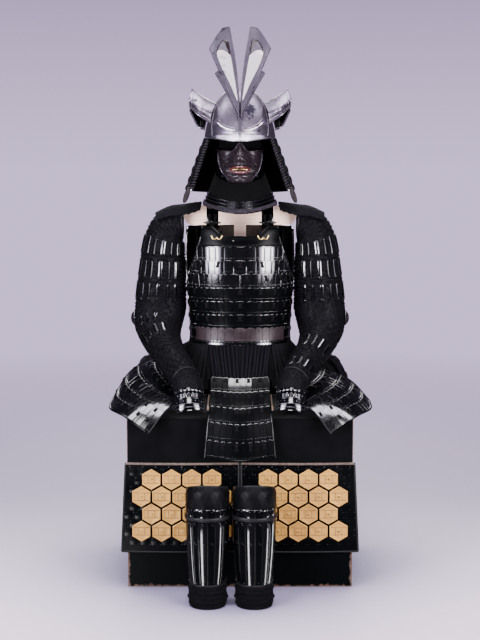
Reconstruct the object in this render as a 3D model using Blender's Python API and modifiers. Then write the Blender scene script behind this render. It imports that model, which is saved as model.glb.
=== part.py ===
"""A suit of samurai armour set up on its stand and seated on its storage chest.

Metres, +Z up. The armour faces -Y and the origin is the middle of the chest's underside. The wearer's
right side is at -X, so "right" in a name means -X. Walls are lofted between an outer grid of points,
which carries the overlapping lames, and a plain inner one. Grids run downwards and towards +X.
"""

import math
from collections import namedtuple

import bmesh
import bpy
from mathutils import Matrix, Vector

GAP = 0.0003  # between pieces that touch
CLOTH = 0.0025
PLATE = 0.0025  # lacquered iron or rawhide
STEP = 0.0035  # how far a lame's lower edge stands over the next

# Storage chest
CHEST_WIDTH = 0.66
CHEST_DEPTH = 0.44
CHEST_HEIGHT = 0.50
CHEST_WALL = 0.009
LID_HEIGHT = 0.06

# Stand
BOARD_BOTTOM = 1.058
BOARD_THICK = 0.022
POST_WIDTH = 0.036
POST_DEPTH = 0.028
FOOT_SIZE = 0.20
FOOT_THICK = 0.018

# Cuirass
LAME_PITCH = 0.0402
LAMES = 7
LAMES_TOP = 0.9988
CUIRASS_BOTTOM = 0.7055
TRUNK_POWER = 2.0 / 2.4  # superellipse
TRUNK_MIDDLE = 0.005
FRONT_REACH = 84.7  # degrees each way round the trunk
BACK_REACH = 95.1
BACK_TOP = 1.0525

TrunkRow = namedtuple("TrunkRow", "z half_width half_depth")
TRUNK = (
    TrunkRow(0.690, 0.154, 0.124),
    TrunkRow(0.730, 0.150, 0.120),
    TrunkRow(0.800, 0.153, 0.123),
    TrunkRow(0.880, 0.159, 0.128),
    TrunkRow(0.960, 0.162, 0.128),
    TrunkRow(1.020, 0.161, 0.124),
    TrunkRow(1.070, 0.160, 0.120),
)

# How far round the trunk the front plate reaches above the armhole, in degrees
ArmholeRow = namedtuple("ArmholeRow", "z reach")
ARMHOLE = (
    ArmholeRow(0.860, FRONT_REACH),
    ArmholeRow(0.885, 80.0),
    ArmholeRow(0.920, 68.0),
    ArmholeRow(0.960, 56.0),
    ArmholeRow(0.999, 47.0),
    ArmholeRow(1.030, 42.0),
    ArmholeRow(1.070, 40.0),
)
NECKLINE_LOW = 1.027
NECKLINE_HIGH = 1.056

# Helmet bowl
BowlRow = namedtuple("BowlRow", "z half_width half_depth")
BOWL = (
    BowlRow(1.316, 0.1075, 0.126),
    BowlRow(1.345, 0.1030, 0.121),
    BowlRow(1.375, 0.0950, 0.112),
    BowlRow(1.403, 0.0835, 0.099),
    BowlRow(1.432, 0.0665, 0.079),
    BowlRow(1.456, 0.0460, 0.055),
    BowlRow(1.469, 0.0240, 0.029),
)
BOWL_APEX = 1.475
BOWL_MIDDLE = -0.005
BOWL_WALL = 0.002
VISOR_DROP = 0.010
VISOR_FLARE = 0.018
VISOR_REACH = 58.0  # degrees each way

# Head block of the stand, which the helmet sits on and the mask is tied round
HeadRow = namedtuple("HeadRow", "z half_width half_depth")
HEAD = (
    HeadRow(1.128, 0.040, 0.044),
    HeadRow(1.160, 0.050, 0.056),
    HeadRow(1.200, 0.062, 0.068),
    HeadRow(1.260, 0.068, 0.076),
    HeadRow(1.320, 0.066, 0.078),
    HeadRow(1.370, 0.065, 0.075),
    HeadRow(1.408, 0.063, 0.074),
)
HEAD_MIDDLE = -0.005

# Sleeve: stations from the shoulder to the wrist, for the wearer's left arm
SleeveRow = namedtuple("SleeveRow", "x y z across deep")
SLEEVE = (
    SleeveRow(0.172, 0.012, 1.069, 0.045, 0.052),
    SleeveRow(0.211, 0.012, 1.048, 0.055, 0.062),
    SleeveRow(0.231, 0.012, 1.003, 0.062, 0.068),
    SleeveRow(0.2345, 0.012, 0.940, 0.0685, 0.071),
    SleeveRow(0.2395, 0.014, 0.872, 0.0735, 0.070),
    SleeveRow(0.2430, 0.016, 0.805, 0.0770, 0.068),
    SleeveRow(0.2480, -0.002, 0.752, 0.0700, 0.064),
    SleeveRow(0.236, -0.046, 0.712, 0.056, 0.054),
    SleeveRow(0.210, -0.104, 0.676, 0.047, 0.048),
    SleeveRow(0.182, -0.162, 0.644, 0.043, 0.045),
    SleeveRow(0.158, -0.214, 0.616, 0.041, 0.044),
)

# Control points of the tassets: rows from the waist outwards, columns along a lame
RIGHT_FRONT_TASSET = (
    ((-0.206, 0.045, 0.672), (-0.192, -0.040, 0.640), (-0.158, -0.106, 0.602), (-0.100, -0.166, 0.586)),
    ((-0.334, 0.058, 0.606), (-0.320, -0.060, 0.592), (-0.270, -0.156, 0.566), (-0.202, -0.226, 0.540)),
    ((-0.396, 0.050, 0.513), (-0.388, -0.120, 0.514), (-0.338, -0.228, 0.511), (-0.262, -0.290, 0.473)),
)
LEFT_FRONT_TASSET = (
    ((0.100, -0.168, 0.590), (0.158, -0.108, 0.604), (0.188, -0.040, 0.618), (0.200, 0.030, 0.632)),
    ((0.202, -0.236, 0.537), (0.270, -0.160, 0.562), (0.312, -0.070, 0.575), (0.330, 0.030, 0.583)),
    ((0.262, -0.290, 0.471), (0.340, -0.228, 0.511), (0.390, -0.120, 0.513), (0.402, 0.030, 0.512)),
)
LEFT_REAR_TASSET = (
    ((0.168, 0.060, 0.668), (0.165, 0.105, 0.672), (0.128, 0.138, 0.672)),
    ((0.300, 0.078, 0.636), (0.282, 0.150, 0.640), (0.208, 0.205, 0.626)),
    ((0.346, 0.080, 0.535), (0.352, 0.180, 0.530), (0.270, 0.262, 0.505)),
)
FRONT_PANEL = (
    ((-0.070, -0.128, 0.640), (0.0, -0.140, 0.637), (0.070, -0.128, 0.640)),
    ((-0.084, -0.172, 0.606), (0.0, -0.180, 0.602), (0.084, -0.172, 0.606)),
    ((-0.088, -0.218, 0.548), (0.0, -0.230, 0.543), (0.088, -0.218, 0.548)),
    ((-0.093, -0.243, 0.488), (0.0, -0.257, 0.481), (0.093, -0.243, 0.488)),
    ((-0.102, -0.252, 0.395), (0.0, -0.270, 0.387), (0.102, -0.252, 0.395)),
)
BACK_PANEL = (
    ((0.100, 0.150, 0.655), (0.0, 0.158, 0.655), (-0.100, 0.150, 0.655)),
    ((0.110, 0.205, 0.590), (0.0, 0.216, 0.588), (-0.110, 0.205, 0.590)),
    ((0.118, 0.242, 0.500), (0.0, 0.256, 0.496), (-0.118, 0.242, 0.500)),
    ((0.122, 0.250, 0.400), (0.0, 0.266, 0.394), (-0.122, 0.250, 0.400)),
)

# Thigh guard, a cloth apron over the chest with two plated panels
APRON_HALF = 0.328
APRON_BACK = -0.095
APRON_BOTTOM = 0.372
PANEL_TOP = 0.374
PANEL_BOTTOM = 0.112
PANEL_INNER = 0.004
PANEL_OUTER_TOP = 0.334
PANEL_OUTER_BOTTOM = 0.346

# Shin guards
SHIN_X = (-0.0915, 0.0405)
SHIN_Y = -0.375
ShinRow = namedtuple("ShinRow", "z half_width half_depth")
SHIN = (
    ShinRow(0.352, 0.046, 0.050),
    ShinRow(0.335, 0.057, 0.060),
    ShinRow(0.300, 0.060, 0.064),
    ShinRow(0.240, 0.060, 0.064),
    ShinRow(0.180, 0.058, 0.062),
    ShinRow(0.120, 0.054, 0.058),
    ShinRow(0.060, 0.048, 0.054),
)
AnkleRow = namedtuple("AnkleRow", "z half_width half_depth")
ANKLE = (
    AnkleRow(0.066, 0.0505, 0.0565),
    AnkleRow(0.052, 0.0545, 0.0600),
    AnkleRow(0.040, 0.0520, 0.0580),
    AnkleRow(0.026, 0.0555, 0.0610),
    AnkleRow(0.012, 0.0530, 0.0590),
    AnkleRow(0.0, 0.0500, 0.0560),
)

MASK_REACH = 89.0  # degrees each way round the head block

BLACK = (0.010, 0.012, 0.013)
SILVER = (0.42, 0.38, 0.44)
MASK_BROWN = (0.035, 0.022, 0.026)
WOOD = (0.62, 0.46, 0.36)


def clear_scene():
    for thing in list(bpy.data.objects):
        bpy.data.objects.remove(thing, do_unlink=True)


def collection(name):
    made = bpy.data.collections.new(name)
    bpy.context.scene.collection.children.link(made)
    return made


def material(name, colour, roughness, metallic=0.0):
    made = bpy.data.materials.new(name)
    made.use_nodes = True
    shader = made.node_tree.nodes["Principled BSDF"]
    shader.inputs["Base Color"].default_value = (*colour, 1.0)
    shader.inputs["Roughness"].default_value = roughness
    shader.inputs["Metallic"].default_value = metallic
    return made


clear_scene()
PARTS = collection("samurai_armour")
CUTTERS = collection("cutters")
LACQUER = material("black_lacquer", BLACK, 0.18)
CHEST_LACQUER = material("chest_lacquer", BLACK, 0.45)
FABRIC = material("black_cloth", BLACK, 0.85)
MAIL = material("mail_on_cloth", (0.022, 0.021, 0.026), 0.5)
IRON = material("silvered_iron", SILVER, 0.35, 0.9)
FACE = material("russet_iron", MASK_BROWN, 0.3, 0.4)
STAND_WOOD = material("plain_wood", WOOD, 0.5)
STAND_CLOTH = material("stand_black", BLACK, 0.9)


def add(name, mesh, finish, smooth=True):
    """Links a mesh as a part with its finish."""
    part = bpy.data.objects.new(name, mesh)
    PARTS.objects.link(part)
    mesh.materials.append(finish)
    if smooth:
        mesh.shade_smooth()
        mesh.set_sharp_from_angle(angle=math.radians(35))
    return part


def curve_value(table, column, z):
    """A table's column at height z, by a Catmull-Rom curve through its rows."""
    rows = sorted(table, key=lambda row: row.z)
    z = min(max(z, rows[0].z), rows[-1].z)
    i = max(k for k in range(len(rows) - 1) if rows[k].z <= z or k == 0)
    t = (z - rows[i].z) / (rows[i + 1].z - rows[i].z)
    values = [getattr(row, column) for row in rows]
    return catmull(values, i, t)


def catmull(values, i, t):
    """The curve between values i and i + 1 at share t; the ends run on straight."""
    p1, p2 = values[i], values[i + 1]
    p0 = values[i - 1] if i > 0 else p1 * 2 - p2
    p3 = values[i + 2] if i + 2 < len(values) else p2 * 2 - p1
    return (
        p1
        + (p2 - p0) * (t / 2)
        + (p0 * 2 - p1 * 5 + p2 * 4 - p3) * (t * t / 2)
        + (p1 * 3 - p0 - p2 * 3 + p3) * (t * t * t / 2)
    )


def along(points, share):
    """A point on the curve through points, at a share from 0 to 1 of its stretches."""
    place = min(max(share, 0.0), 1.0) * (len(points) - 1)
    i = min(int(place), len(points) - 2)
    return catmull(points, i, place - i)


def patch_point(control, v, u):
    """A point of the surface through a grid of control points: v down its rows, u along them."""
    column = [along([Vector(p) for p in row], u) for row in control]
    return along(column, v)


def normals_of(grid, around=False):
    """One outward normal for each point of a grid that runs down and towards +X."""
    rows, columns = len(grid), len(grid[0])
    found = []
    for r in range(rows):
        line = []
        for c in range(columns):
            left = (c - 1) % columns if around else max(c - 1, 0)
            right = (c + 1) % columns if around else min(c + 1, columns - 1)
            down = grid[min(r + 1, rows - 1)][c] - grid[max(r - 1, 0)][c]
            across = grid[r][right] - grid[r][left]
            line.append(down.cross(across).normalized())
        found.append(line)
    return found


def moved_out(grid, distance, around=False):
    """The grid moved along its normals; distance is a number or a function of row and column."""
    normals = normals_of(grid, around)
    size = distance if callable(distance) else lambda r, c: distance
    return [
        [p + normals[r][c] * size(r, c) for c, p in enumerate(line)]
        for r, line in enumerate(grid)
    ]


def join_rows(bm, upper, lower, around=False):
    """Triangles between two lines of vertices, cut the same way on both sides of a wall."""
    count = len(upper)
    for c in range(count if around else count - 1):
        n = (c + 1) % count
        bm.faces.new((upper[c], lower[c], lower[n]))
        bm.faces.new((upper[c], lower[n], upper[n]))


def wall(name, outer, inner, finish, around=False):
    """A closed wall between two grids of the same size, as a loft between unlike sections."""
    bm = bmesh.new()
    out = [[bm.verts.new(p) for p in line] for line in outer]
    ins = [[bm.verts.new(p) for p in line] for line in inner]
    for r in range(len(out) - 1):
        join_rows(bm, out[r], out[r + 1], around)
        join_rows(bm, ins[r], ins[r + 1], around)
    join_rows(bm, ins[0], out[0], around)
    join_rows(bm, out[-1], ins[-1], around)
    if not around:
        for side in (0, -1):
            join_rows(bm, [line[side] for line in out], [line[side] for line in ins])
    bmesh.ops.recalc_face_normals(bm, faces=bm.faces)
    mesh = bpy.data.meshes.new(name)
    bm.to_mesh(mesh)
    bm.free()
    return add(name, mesh, finish)


def sheet(name, grid, thickness, finish, around=False, apex=None):
    """An open surface thickened inwards by Solidify."""
    bm = bmesh.new()
    lines = [[bm.verts.new(p) for p in line] for line in grid]
    for r in range(len(lines) - 1):
        join_rows(bm, lines[r], lines[r + 1], around)
    if apex is not None:
        tip = bm.verts.new(apex)
        first = lines[0]
        for c in range(len(first)):
            bm.faces.new((tip, first[c], first[(c + 1) % len(first)]))
    mesh = bpy.data.meshes.new(name)
    bm.to_mesh(mesh)
    bm.free()
    part = add(name, mesh, finish)
    thicken = part.modifiers.new("thickness", "SOLIDIFY")
    thicken.thickness = thickness
    thicken.offset = -1.0
    return part


def closed_loft(name, rings, finish, smooth=True):
    """A solid through rings of points, capped at both ends."""
    bm = bmesh.new()
    lines = [[bm.verts.new(p) for p in ring] for ring in rings]
    for r in range(len(lines) - 1):
        join_rows(bm, lines[r], lines[r + 1], True)
    bm.faces.new(lines[0])
    bm.faces.new(lines[-1])
    bmesh.ops.recalc_face_normals(bm, faces=bm.faces)
    mesh = bpy.data.meshes.new(name)
    bm.to_mesh(mesh)
    bm.free()
    return add(name, mesh, finish, smooth)


def box(name, low, high, finish, rounding=0.0):
    """A cuboid between two corners, with rounded edges if rounding is given."""
    low, high = Vector(low), Vector(high)
    bm = bmesh.new()
    bmesh.ops.create_cube(bm, size=1.0)
    bmesh.ops.scale(bm, vec=high - low, verts=bm.verts)
    bmesh.ops.translate(bm, vec=(low + high) / 2, verts=bm.verts)
    mesh = bpy.data.meshes.new(name)
    bm.to_mesh(mesh)
    bm.free()
    part = add(name, mesh, finish, smooth=False)
    if rounding:
        edge = part.modifiers.new("rounding", "BEVEL")
        edge.width = rounding
        edge.segments = 1
    return part


def cut(part, low, high):
    """Takes a cuboid out of a part."""
    cutter = box(part.name + "_cutter", low, high, STAND_WOOD)
    PARTS.objects.unlink(cutter)
    CUTTERS.objects.link(cutter)
    cutter.hide_render = True
    cutter.display_type = "WIRE"
    taken = part.modifiers.new("hollow", "BOOLEAN")
    taken.operation = "DIFFERENCE"
    taken.solver = "EXACT"
    taken.object = cutter


def flat_plate(name, outline, thickness, y, finish):
    """A flat outline in the XZ plane, given as (x, z) points, extruded along Y about y."""
    shape = bpy.data.curves.new(name, "CURVE")
    shape.dimensions = "2D"
    shape.fill_mode = "BOTH"
    shape.extrude = thickness / 2
    line = shape.splines.new("POLY")
    line.points.add(len(outline) - 1)
    for point, (x, z) in zip(line.points, outline):
        point.co = (x, z, 0.0, 1.0)
    line.use_cyclic_u = True
    turned = bpy.data.objects.new(name + "_outline", shape)
    PARTS.objects.link(turned)
    turned.matrix_world = Matrix.Translation((0, y, 0)) @ Matrix.Rotation(math.pi / 2, 4, "X")
    bpy.context.view_layer.update()
    evaluated = turned.evaluated_get(bpy.context.evaluated_depsgraph_get())
    mesh = bpy.data.meshes.new_from_object(evaluated)
    mesh.transform(turned.matrix_world)
    bpy.data.objects.remove(turned)
    bm = bmesh.new()
    bm.from_mesh(mesh)
    bmesh.ops.remove_doubles(bm, verts=bm.verts, dist=0.00001)
    bmesh.ops.recalc_face_normals(bm, faces=bm.faces)
    bm.to_mesh(mesh)
    bm.free()
    return add(name, mesh, finish, smooth=False)


def rod(name, points, radius, finish, sides=2):
    """A round rod along points, with filled ends."""
    shape = bpy.data.curves.new(name, "CURVE")
    shape.dimensions = "3D"
    shape.bevel_depth = radius
    shape.bevel_resolution = sides
    shape.use_fill_caps = True
    line = shape.splines.new("POLY")
    line.points.add(len(points) - 1)
    for point, place in zip(line.points, points):
        point.co = (*place, 1.0)
    part = bpy.data.objects.new(name, shape)
    shape.materials.append(finish)
    PARTS.objects.link(part)
    return part


def ring_point(table, middle, degrees, z, power=1.0, out=0.0):
    """A point round a table's section at height z; 0 degrees is the front, 90 is +X."""
    angle = math.radians(degrees)
    s, c = math.sin(angle), math.cos(angle)
    x = (curve_value(table, "half_width", z) + out) * math.copysign(abs(s) ** power, s)
    y = (curve_value(table, "half_depth", z) + out) * math.copysign(abs(c) ** power, c)
    return Vector((x, middle - y, z))


def trunk(degrees, z, out=0.0):
    return ring_point(TRUNK, TRUNK_MIDDLE, degrees, z, TRUNK_POWER, out)


def spread(count, low=-1.0, high=1.0):
    """count values from low to high."""
    return [low + (high - low) * i / (count - 1) for i in range(count)]


def lame_heights(top, bottom, lames, rise=0.0015):
    """Pairs of (height, offset out): each lame's top, tucked in, and its lower edge, proud."""
    pitch = (top - bottom) / lames
    rows = []
    for k in range(lames):
        rows.append((top - k * pitch - (rise if k else 0.0), 0.0))
        rows.append((top - (k + 1) * pitch, STEP))
    return rows


def build_chest():
    half_w, half_d = CHEST_WIDTH / 2, CHEST_DEPTH / 2
    seam = CHEST_HEIGHT - LID_HEIGHT
    body = box("chest_body", (-half_w, -half_d, 0), (half_w, half_d, seam), CHEST_LACQUER)
    cut(
        body,
        (-half_w + CHEST_WALL, -half_d + CHEST_WALL, CHEST_WALL),
        (half_w - CHEST_WALL, half_d - CHEST_WALL, seam + CHEST_WALL),
    )
    lid = box("chest_lid", (-half_w, -half_d, seam + GAP), (half_w, half_d, CHEST_HEIGHT), CHEST_LACQUER)
    cut(
        lid,
        (-half_w + CHEST_WALL, -half_d + CHEST_WALL, seam - CHEST_WALL),
        (half_w - CHEST_WALL, half_d - CHEST_WALL, CHEST_HEIGHT - CHEST_WALL),
    )


def board_half_outline():
    """The shoulder board's outline from the middle of its top to its end and back below."""
    tip = SLEEVE[0]
    under_sleeve = tip.z + tip.across - CLOTH - 2 * GAP
    return [
        (0.0, 1.118),
        (0.105, 1.117),
        (0.145, 1.114),
        (tip.x - GAP, under_sleeve),
        (tip.x - GAP, under_sleeve - 0.026),
        (tip.x - 0.010, BOARD_BOTTOM + 0.006),
        (0.146, BOARD_BOTTOM),
    ]


def build_stand():
    foot = FOOT_SIZE / 2
    base = CHEST_HEIGHT + GAP
    box("stand_foot", (-foot, -0.08, base), (foot, 0.12, base + FOOT_THICK), STAND_WOOD, 0.003)
    half = POST_WIDTH / 2
    low = base + FOOT_THICK + GAP
    box("stand_post", (-half, 0, low), (half, POST_DEPTH, BOARD_BOTTOM - GAP), STAND_WOOD)
    right_side = board_half_outline()
    outline = right_side + [(-x, z) for x, z in reversed(right_side) if x > 0]
    flat_plate("stand_shoulder_board", outline, BOARD_THICK, BOARD_THICK / 2 + 0.001, STAND_WOOD)
    neck_top = HEAD[0].z - GAP
    neck_low = right_side[0][1] + GAP
    box("stand_neck", (-half, 0, neck_low), (half, BOARD_THICK, neck_top), STAND_WOOD)
    rings = [
        [ring_point(HEAD, HEAD_MIDDLE, 20.0 * k, row.z) for k in range(18)] for row in HEAD
    ]
    crown = []
    for z in (1.434, 1.450):
        shrink = BOWL_WALL * 1.75 + GAP
        crown.append([bowl(20.0 * k, z, -shrink) for k in range(18)])
    closed_loft("stand_head", rings + crown, STAND_CLOTH)


def neckline(share):
    """Height of the front plate's top edge at a share from -1 to 1 of its width."""
    rise = min(max((abs(share) - 0.25) / 0.45, 0.0), 1.0)
    return NECKLINE_LOW + (NECKLINE_HIGH - NECKLINE_LOW) * rise * rise * (3 - 2 * rise)


def front_grid(heights, columns):
    """Trunk points of the front plate; a height is a number or a function of the share across."""
    grid = []
    for height in heights:
        line = []
        for share in spread(columns):
            z = height(share) if callable(height) else height
            line.append(trunk(share * curve_value(ARMHOLE, "reach", z), z))
        grid.append(line)
    return grid


def build_cuirass():
    columns = 17
    rows = lame_heights(LAMES_TOP, LAMES_TOP - LAMES * LAME_PITCH, LAMES)
    rows.append((CUIRASS_BOTTOM, 0.001))
    grid = front_grid([z for z, _ in rows], columns)
    outer = moved_out(grid, lambda r, c: rows[r][1])
    wall("cuirass_front", outer, moved_out(grid, -PLATE), LACQUER)
    plate_rows = [
        neckline,
        lambda share: (neckline(share) + LAMES_TOP) / 2,
        lambda share: LAMES_TOP + 0.0004,
    ]
    grid = front_grid(plate_rows, columns)
    rim = (0.004, 0.0, 0.004)
    outer = moved_out(grid, lambda r, c: rim[r])
    wall("breast_plate_top", outer, moved_out(grid, -PLATE), LACQUER)
    back_rows = lame_heights(1.000, LAMES_TOP - LAMES * LAME_PITCH, LAMES)
    back_rows = [(BACK_TOP, 0.0), (BACK_TOP - 0.012, 0.001)] + back_rows
    back_rows.append((CUIRASS_BOTTOM, 0.001))
    grid = []
    for z, _ in back_rows:
        reach = BACK_REACH - 12.0 * max(0.0, (z - BACK_TOP + 0.012) / 0.012)
        grid.append([trunk(180 + share * reach, z) for share in spread(15)])
    outer = moved_out(grid, lambda r, c: back_rows[r][1])
    wall("cuirass_back", outer, moved_out(grid, -PLATE), LACQUER)


def build_straps():
    """Shoulder straps, from the back plate over the board to the tabs of the front plate."""
    half, thick = 0.018, 0.004
    top = board_half_outline()[0][1] + GAP
    for side, sign in (("right", -1), ("left", 1)):
        x = sign * 0.082
        back = trunk(180 - sign * 36.0, BACK_TOP).y - PLATE - thick - 5 * GAP
        front = trunk(sign * 37, NECKLINE_HIGH).y
        path = [
            Vector((x, back, BACK_TOP - 0.014)),
            Vector((x, back, BACK_TOP + 0.004)),
            Vector((x, 0.074, top - 0.014)),
            Vector((x, 0.030, top - 0.0006)),
            Vector((x, -0.006, top - 0.0010)),
            Vector((x, -0.050, top - 0.016)),
            Vector((x, front + 0.018, NECKLINE_HIGH + 0.020)),
            Vector((x, front + 0.004, NECKLINE_HIGH + 0.004)),
        ]
        count = 15
        under = [along(path, share) for share in spread(count, 0, 1)]
        over = []
        for i, p in enumerate(under):
            run = under[min(i + 1, count - 1)] - under[max(i - 1, 0)]
            over.append(p + Vector((0, run.z, -run.y)).normalized() * thick)
        edges = (Vector((-half, 0, 0)), Vector((half, 0, 0)))
        outer = [[p + edge for edge in edges] for p in over]
        inner = [[p + edge for edge in edges] for p in under]
        wall("shoulder_strap_" + side, outer, inner, LACQUER)
        build_toggle(side, Vector((x, front - 0.0020, NECKLINE_HIGH + 0.0125)))


def build_toggle(side, middle):
    """A pointed spindle that fastens a strap to its tab."""
    rings = []
    for dx, radius in ((-0.027, 0.0012), (-0.013, 0.0045), (0, 0.006), (0.013, 0.0045), (0.027, 0.0012)):
        ring = []
        for k in range(6):
            a = math.radians(60 * k)
            ring.append(middle + Vector((dx, radius * math.cos(a), radius * math.sin(a))))
        rings.append(ring)
    closed_loft("strap_toggle_" + side, rings, LACQUER)


def bowl(degrees, z, out=0.0):
    return ring_point(BOWL, BOWL_MIDDLE, degrees, z, 1.0, out)


def visor_share(degrees):
    """1 at the brow and 0 at the sides and back."""
    return math.cos(math.radians(degrees * 90.0 / VISOR_REACH)) ** 1.5 if abs(degrees) < VISOR_REACH else 0.0


def bowl_rim(degrees):
    """The rim's lower edge, flared forwards into the visor at the front."""
    share = visor_share(degrees)
    p = bowl(degrees, BOWL[0].z)
    flare = Vector((p.x * 0.05, -VISOR_FLARE, 0)) * share
    return p + flare - Vector((0, 0, VISOR_DROP * share))


def build_helmet():
    count = 24
    turn = [-180 + 360 / count * k for k in range(count)]
    heights = (1.467, 1.454, 1.436, 1.412, 1.388, 1.360, 1.337, 1.325)
    grid = [[bowl(d, z) for d in turn] for z in heights]
    grid.append([bowl_rim(d) for d in turn])
    tip = Vector((0, BOWL_MIDDLE, BOWL_APEX))
    sheet("helmet_bowl", grid, BOWL_WALL, IRON, around=True, apex=tip)
    build_brow_ridges()
    build_helmet_ears()
    build_crest()
    build_neck_guard()


def build_brow_ridges():
    """Raised eyebrows on the bowl above the visor."""
    places = ((8, 1.3375), (16, 1.3385), (24, 1.3425), (32, 1.349), (39, 1.358))
    for side, sign in (("right", -1), ("left", 1)):
        radius = 0.0028
        points = [bowl(sign * d, z, radius + 0.0006) for d, z in places]
        rod("brow_ridge_" + side, points, radius, IRON, 1)


def ear_control(sign):
    """Control points of a helmet ear, an open scroll: rows from the front rim over to the back rim."""
    rows = (
        ((0.0862, -0.072, 1.360), (0.1200, -0.086, 1.382), (0.1475, -0.066, 1.408)),
        ((0.0832, -0.078, 1.392), (0.1140, -0.094, 1.405), (0.1485, -0.074, 1.432)),
        ((0.0712, -0.034, 1.420), (0.1080, -0.040, 1.440), (0.1410, -0.040, 1.462)),
        ((0.0932, 0.020, 1.390), (0.1260, 0.030, 1.398), (0.1500, 0.006, 1.424)),
        ((0.1060, 0.008, 1.343), (0.1270, 0.018, 1.354), (0.1500, -0.004, 1.400)),
    )
    return [[(x * sign, y, z) for x, y, z in row] for row in rows]


def build_helmet_ears():
    """The ears are open scrolls, thickened towards their own middle line."""
    for side, sign in (("right", -1), ("left", 1)):
        control = ear_control(sign)
        shares = spread(7, 0, 1)
        outer = [[patch_point(control, v, u) for u in shares] for v in spread(13, 0, 1)]
        inner = []
        for line in outer:
            centres = [Vector((sign * (0.108 + 0.040 * u), -0.030, 1.375 + 0.045 * u)) for u in shares]
            inner.append([p + (c - p).normalized() * 0.0022 for p, c in zip(line, centres)])
        wall("helmet_ear_" + side, outer, inner, IRON)


def crest_outline(sign):
    points = ((0.0305, 1.631), (0.0508, 1.627), (0.0886, 1.570), (0.0030, 1.381), (0.0012, 1.418))
    return [(sign * x, z) for x, z in points]


def crest_back_outline(sign):
    points = ((0.0610, 1.5090), (0.0724, 1.5000), (0.0030, 1.373), (0.0012, 1.384))
    return [(sign * x, z) for x, z in points]


def build_crest():
    """Two tall blades on a prong at the brow, with a narrower pair behind them."""
    blade, y = 0.003, -0.1485
    for side, sign in (("right", -1), ("left", 1)):
        flat_plate("crest_blade_" + side, crest_outline(sign), blade, y, IRON)
        flat_plate("crest_wing_" + side, crest_back_outline(sign), blade, y + blade + GAP, IRON)
    near = y + 1.5 * blade + 2 * GAP
    low = 1.334
    far = bowl(0, low).y - 2 * GAP
    box("crest_prong", (-0.005, near, low), (0.005, far, 1.425), IRON)


def neck_point(degrees, share, out=0.0):
    """The neck guard's surface: share 0 under the bowl's rim, 1 at its lower edge."""
    angle = math.radians(degrees)
    half_width = 0.1062 + 0.0563 * share
    half_depth = 0.1247 + 0.0553 * share
    dip = 0.010 * share * max(0.0, -math.cos(angle))
    z = BOWL[0].z - 0.0005 - 0.152 * share - dip
    x = (half_width + out) * math.sin(angle)
    return Vector((x, BOWL_MIDDLE - (half_depth + out) * math.cos(angle), z))


def build_neck_guard():
    lames = 5
    rows = []
    for k in range(lames):
        rows.append((k / lames + (0.012 if k else 0.0), 0.0))
        rows.append(((k + 1) / lames, STEP))
    turn = spread(19, 62, 298)
    outer = [[neck_point(d, share, out) for d in turn] for share, out in rows]
    inner = [[neck_point(d, share, -PLATE) for d in turn] for share, _ in rows]
    wall("neck_guard", outer, inner, LACQUER)
    for side, degrees, sign in (("left", 63.5, 1), ("right", 296.5, -1)):
        build_neck_tab(side, neck_point(degrees, 0.93, STEP + GAP), sign)


def build_neck_tab(side, top, sign):
    """A small padded tab hanging on the front corner of the neck guard."""
    rings = []
    for half, drop in ((0.002, 0.0), (0.006, -0.010), (0.0065, -0.032), (0.002, -0.048)):
        ring = []
        for k in range(6):
            a = math.radians(60 * k)
            ring.append(top + Vector((half * 0.45 * math.sin(a), half * math.cos(a), drop)))
        rings.append([p + Vector((sign * (0.0041 - drop * 0.34), 0, 0)) for p in ring])
    closed_loft("neck_guard_tab_" + side, rings, LACQUER)


def bump(x, centre, width):
    return math.exp(-(((x - centre) / width) ** 2))


def mask_point(degrees, z, out=0.0):
    """The mask's face at an angle round the head block and a height: cheeks, nose, lips and chin."""
    edge = curve_value(HEAD, "half_width", z)
    base = ring_point(HEAD, HEAD_MIDDLE, degrees, z, 1.0, PLATE - GAP + out)
    share = max(0.0, math.cos(math.radians(degrees * 90.0 / MASK_REACH))) ** 0.8
    x = base.x
    side = abs(x)
    relief = 0.040 * share
    relief += 0.030 * bump(side, 0.0, 0.016) * bump(z, 1.255, 0.022)
    relief += 0.012 * bump(side, 0.0, 0.010) * bump(z, 1.285, 0.020)
    relief += 0.008 * bump(side, 0.016, 0.010) * bump(z, 1.250, 0.012)
    relief += 0.007 * bump(side, 0.042, 0.015) * bump(z, 1.268, 0.022)
    relief += 0.009 * bump(side, 0.0, 0.036) * bump(z, 1.236, 0.006)
    relief -= 0.010 * bump(side, 0.0, 0.032) * bump(z, 1.2255, 0.005)
    relief += 0.009 * bump(side, 0.0, 0.032) * bump(z, 1.214, 0.006)
    relief += 0.012 * bump(side, 0.0, 0.020) * bump(z, 1.192, 0.012)
    direction = Vector((x / max(edge, 0.01) * 0.35, -1.0, 0.0)).normalized()
    return base + direction * relief


def mask_top(degrees):
    """The mask's upper edge: below the eyes, with the nose standing up in the middle."""
    return 1.276 + 0.026 * bump(degrees, 0, 9) + 0.010 * min(1.0, abs(degrees) / 80.0) ** 2


def mask_bottom(degrees):
    return 1.178 + 0.030 * (abs(degrees) / 80.0) ** 2


def mask_grid(columns, rows):
    grid = []
    for v in spread(rows, 0, 1):
        line = []
        for d in spread(columns, -MASK_REACH, MASK_REACH):
            z = mask_top(d) + (mask_bottom(d) - mask_top(d)) * v
            line.append(mask_point(d, z))
        grid.append(line)
    return grid


def throat_point(degrees, share, out=0.0):
    """The throat guard: share 0 round the mask's lower edge, 1 at its own."""
    z = mask_bottom(degrees) + 0.007
    top = mask_point(degrees, z, PLATE + 2 * GAP + out)
    angle = math.radians(degrees)
    z = 1.120 - 0.024 * max(0.0, math.cos(angle)) ** 2
    x = (0.1090 + out) * math.sin(angle)
    bottom = Vector((x, -0.004 - (0.160 + out) * math.cos(angle), z))
    return top.lerp(bottom, share)


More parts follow.
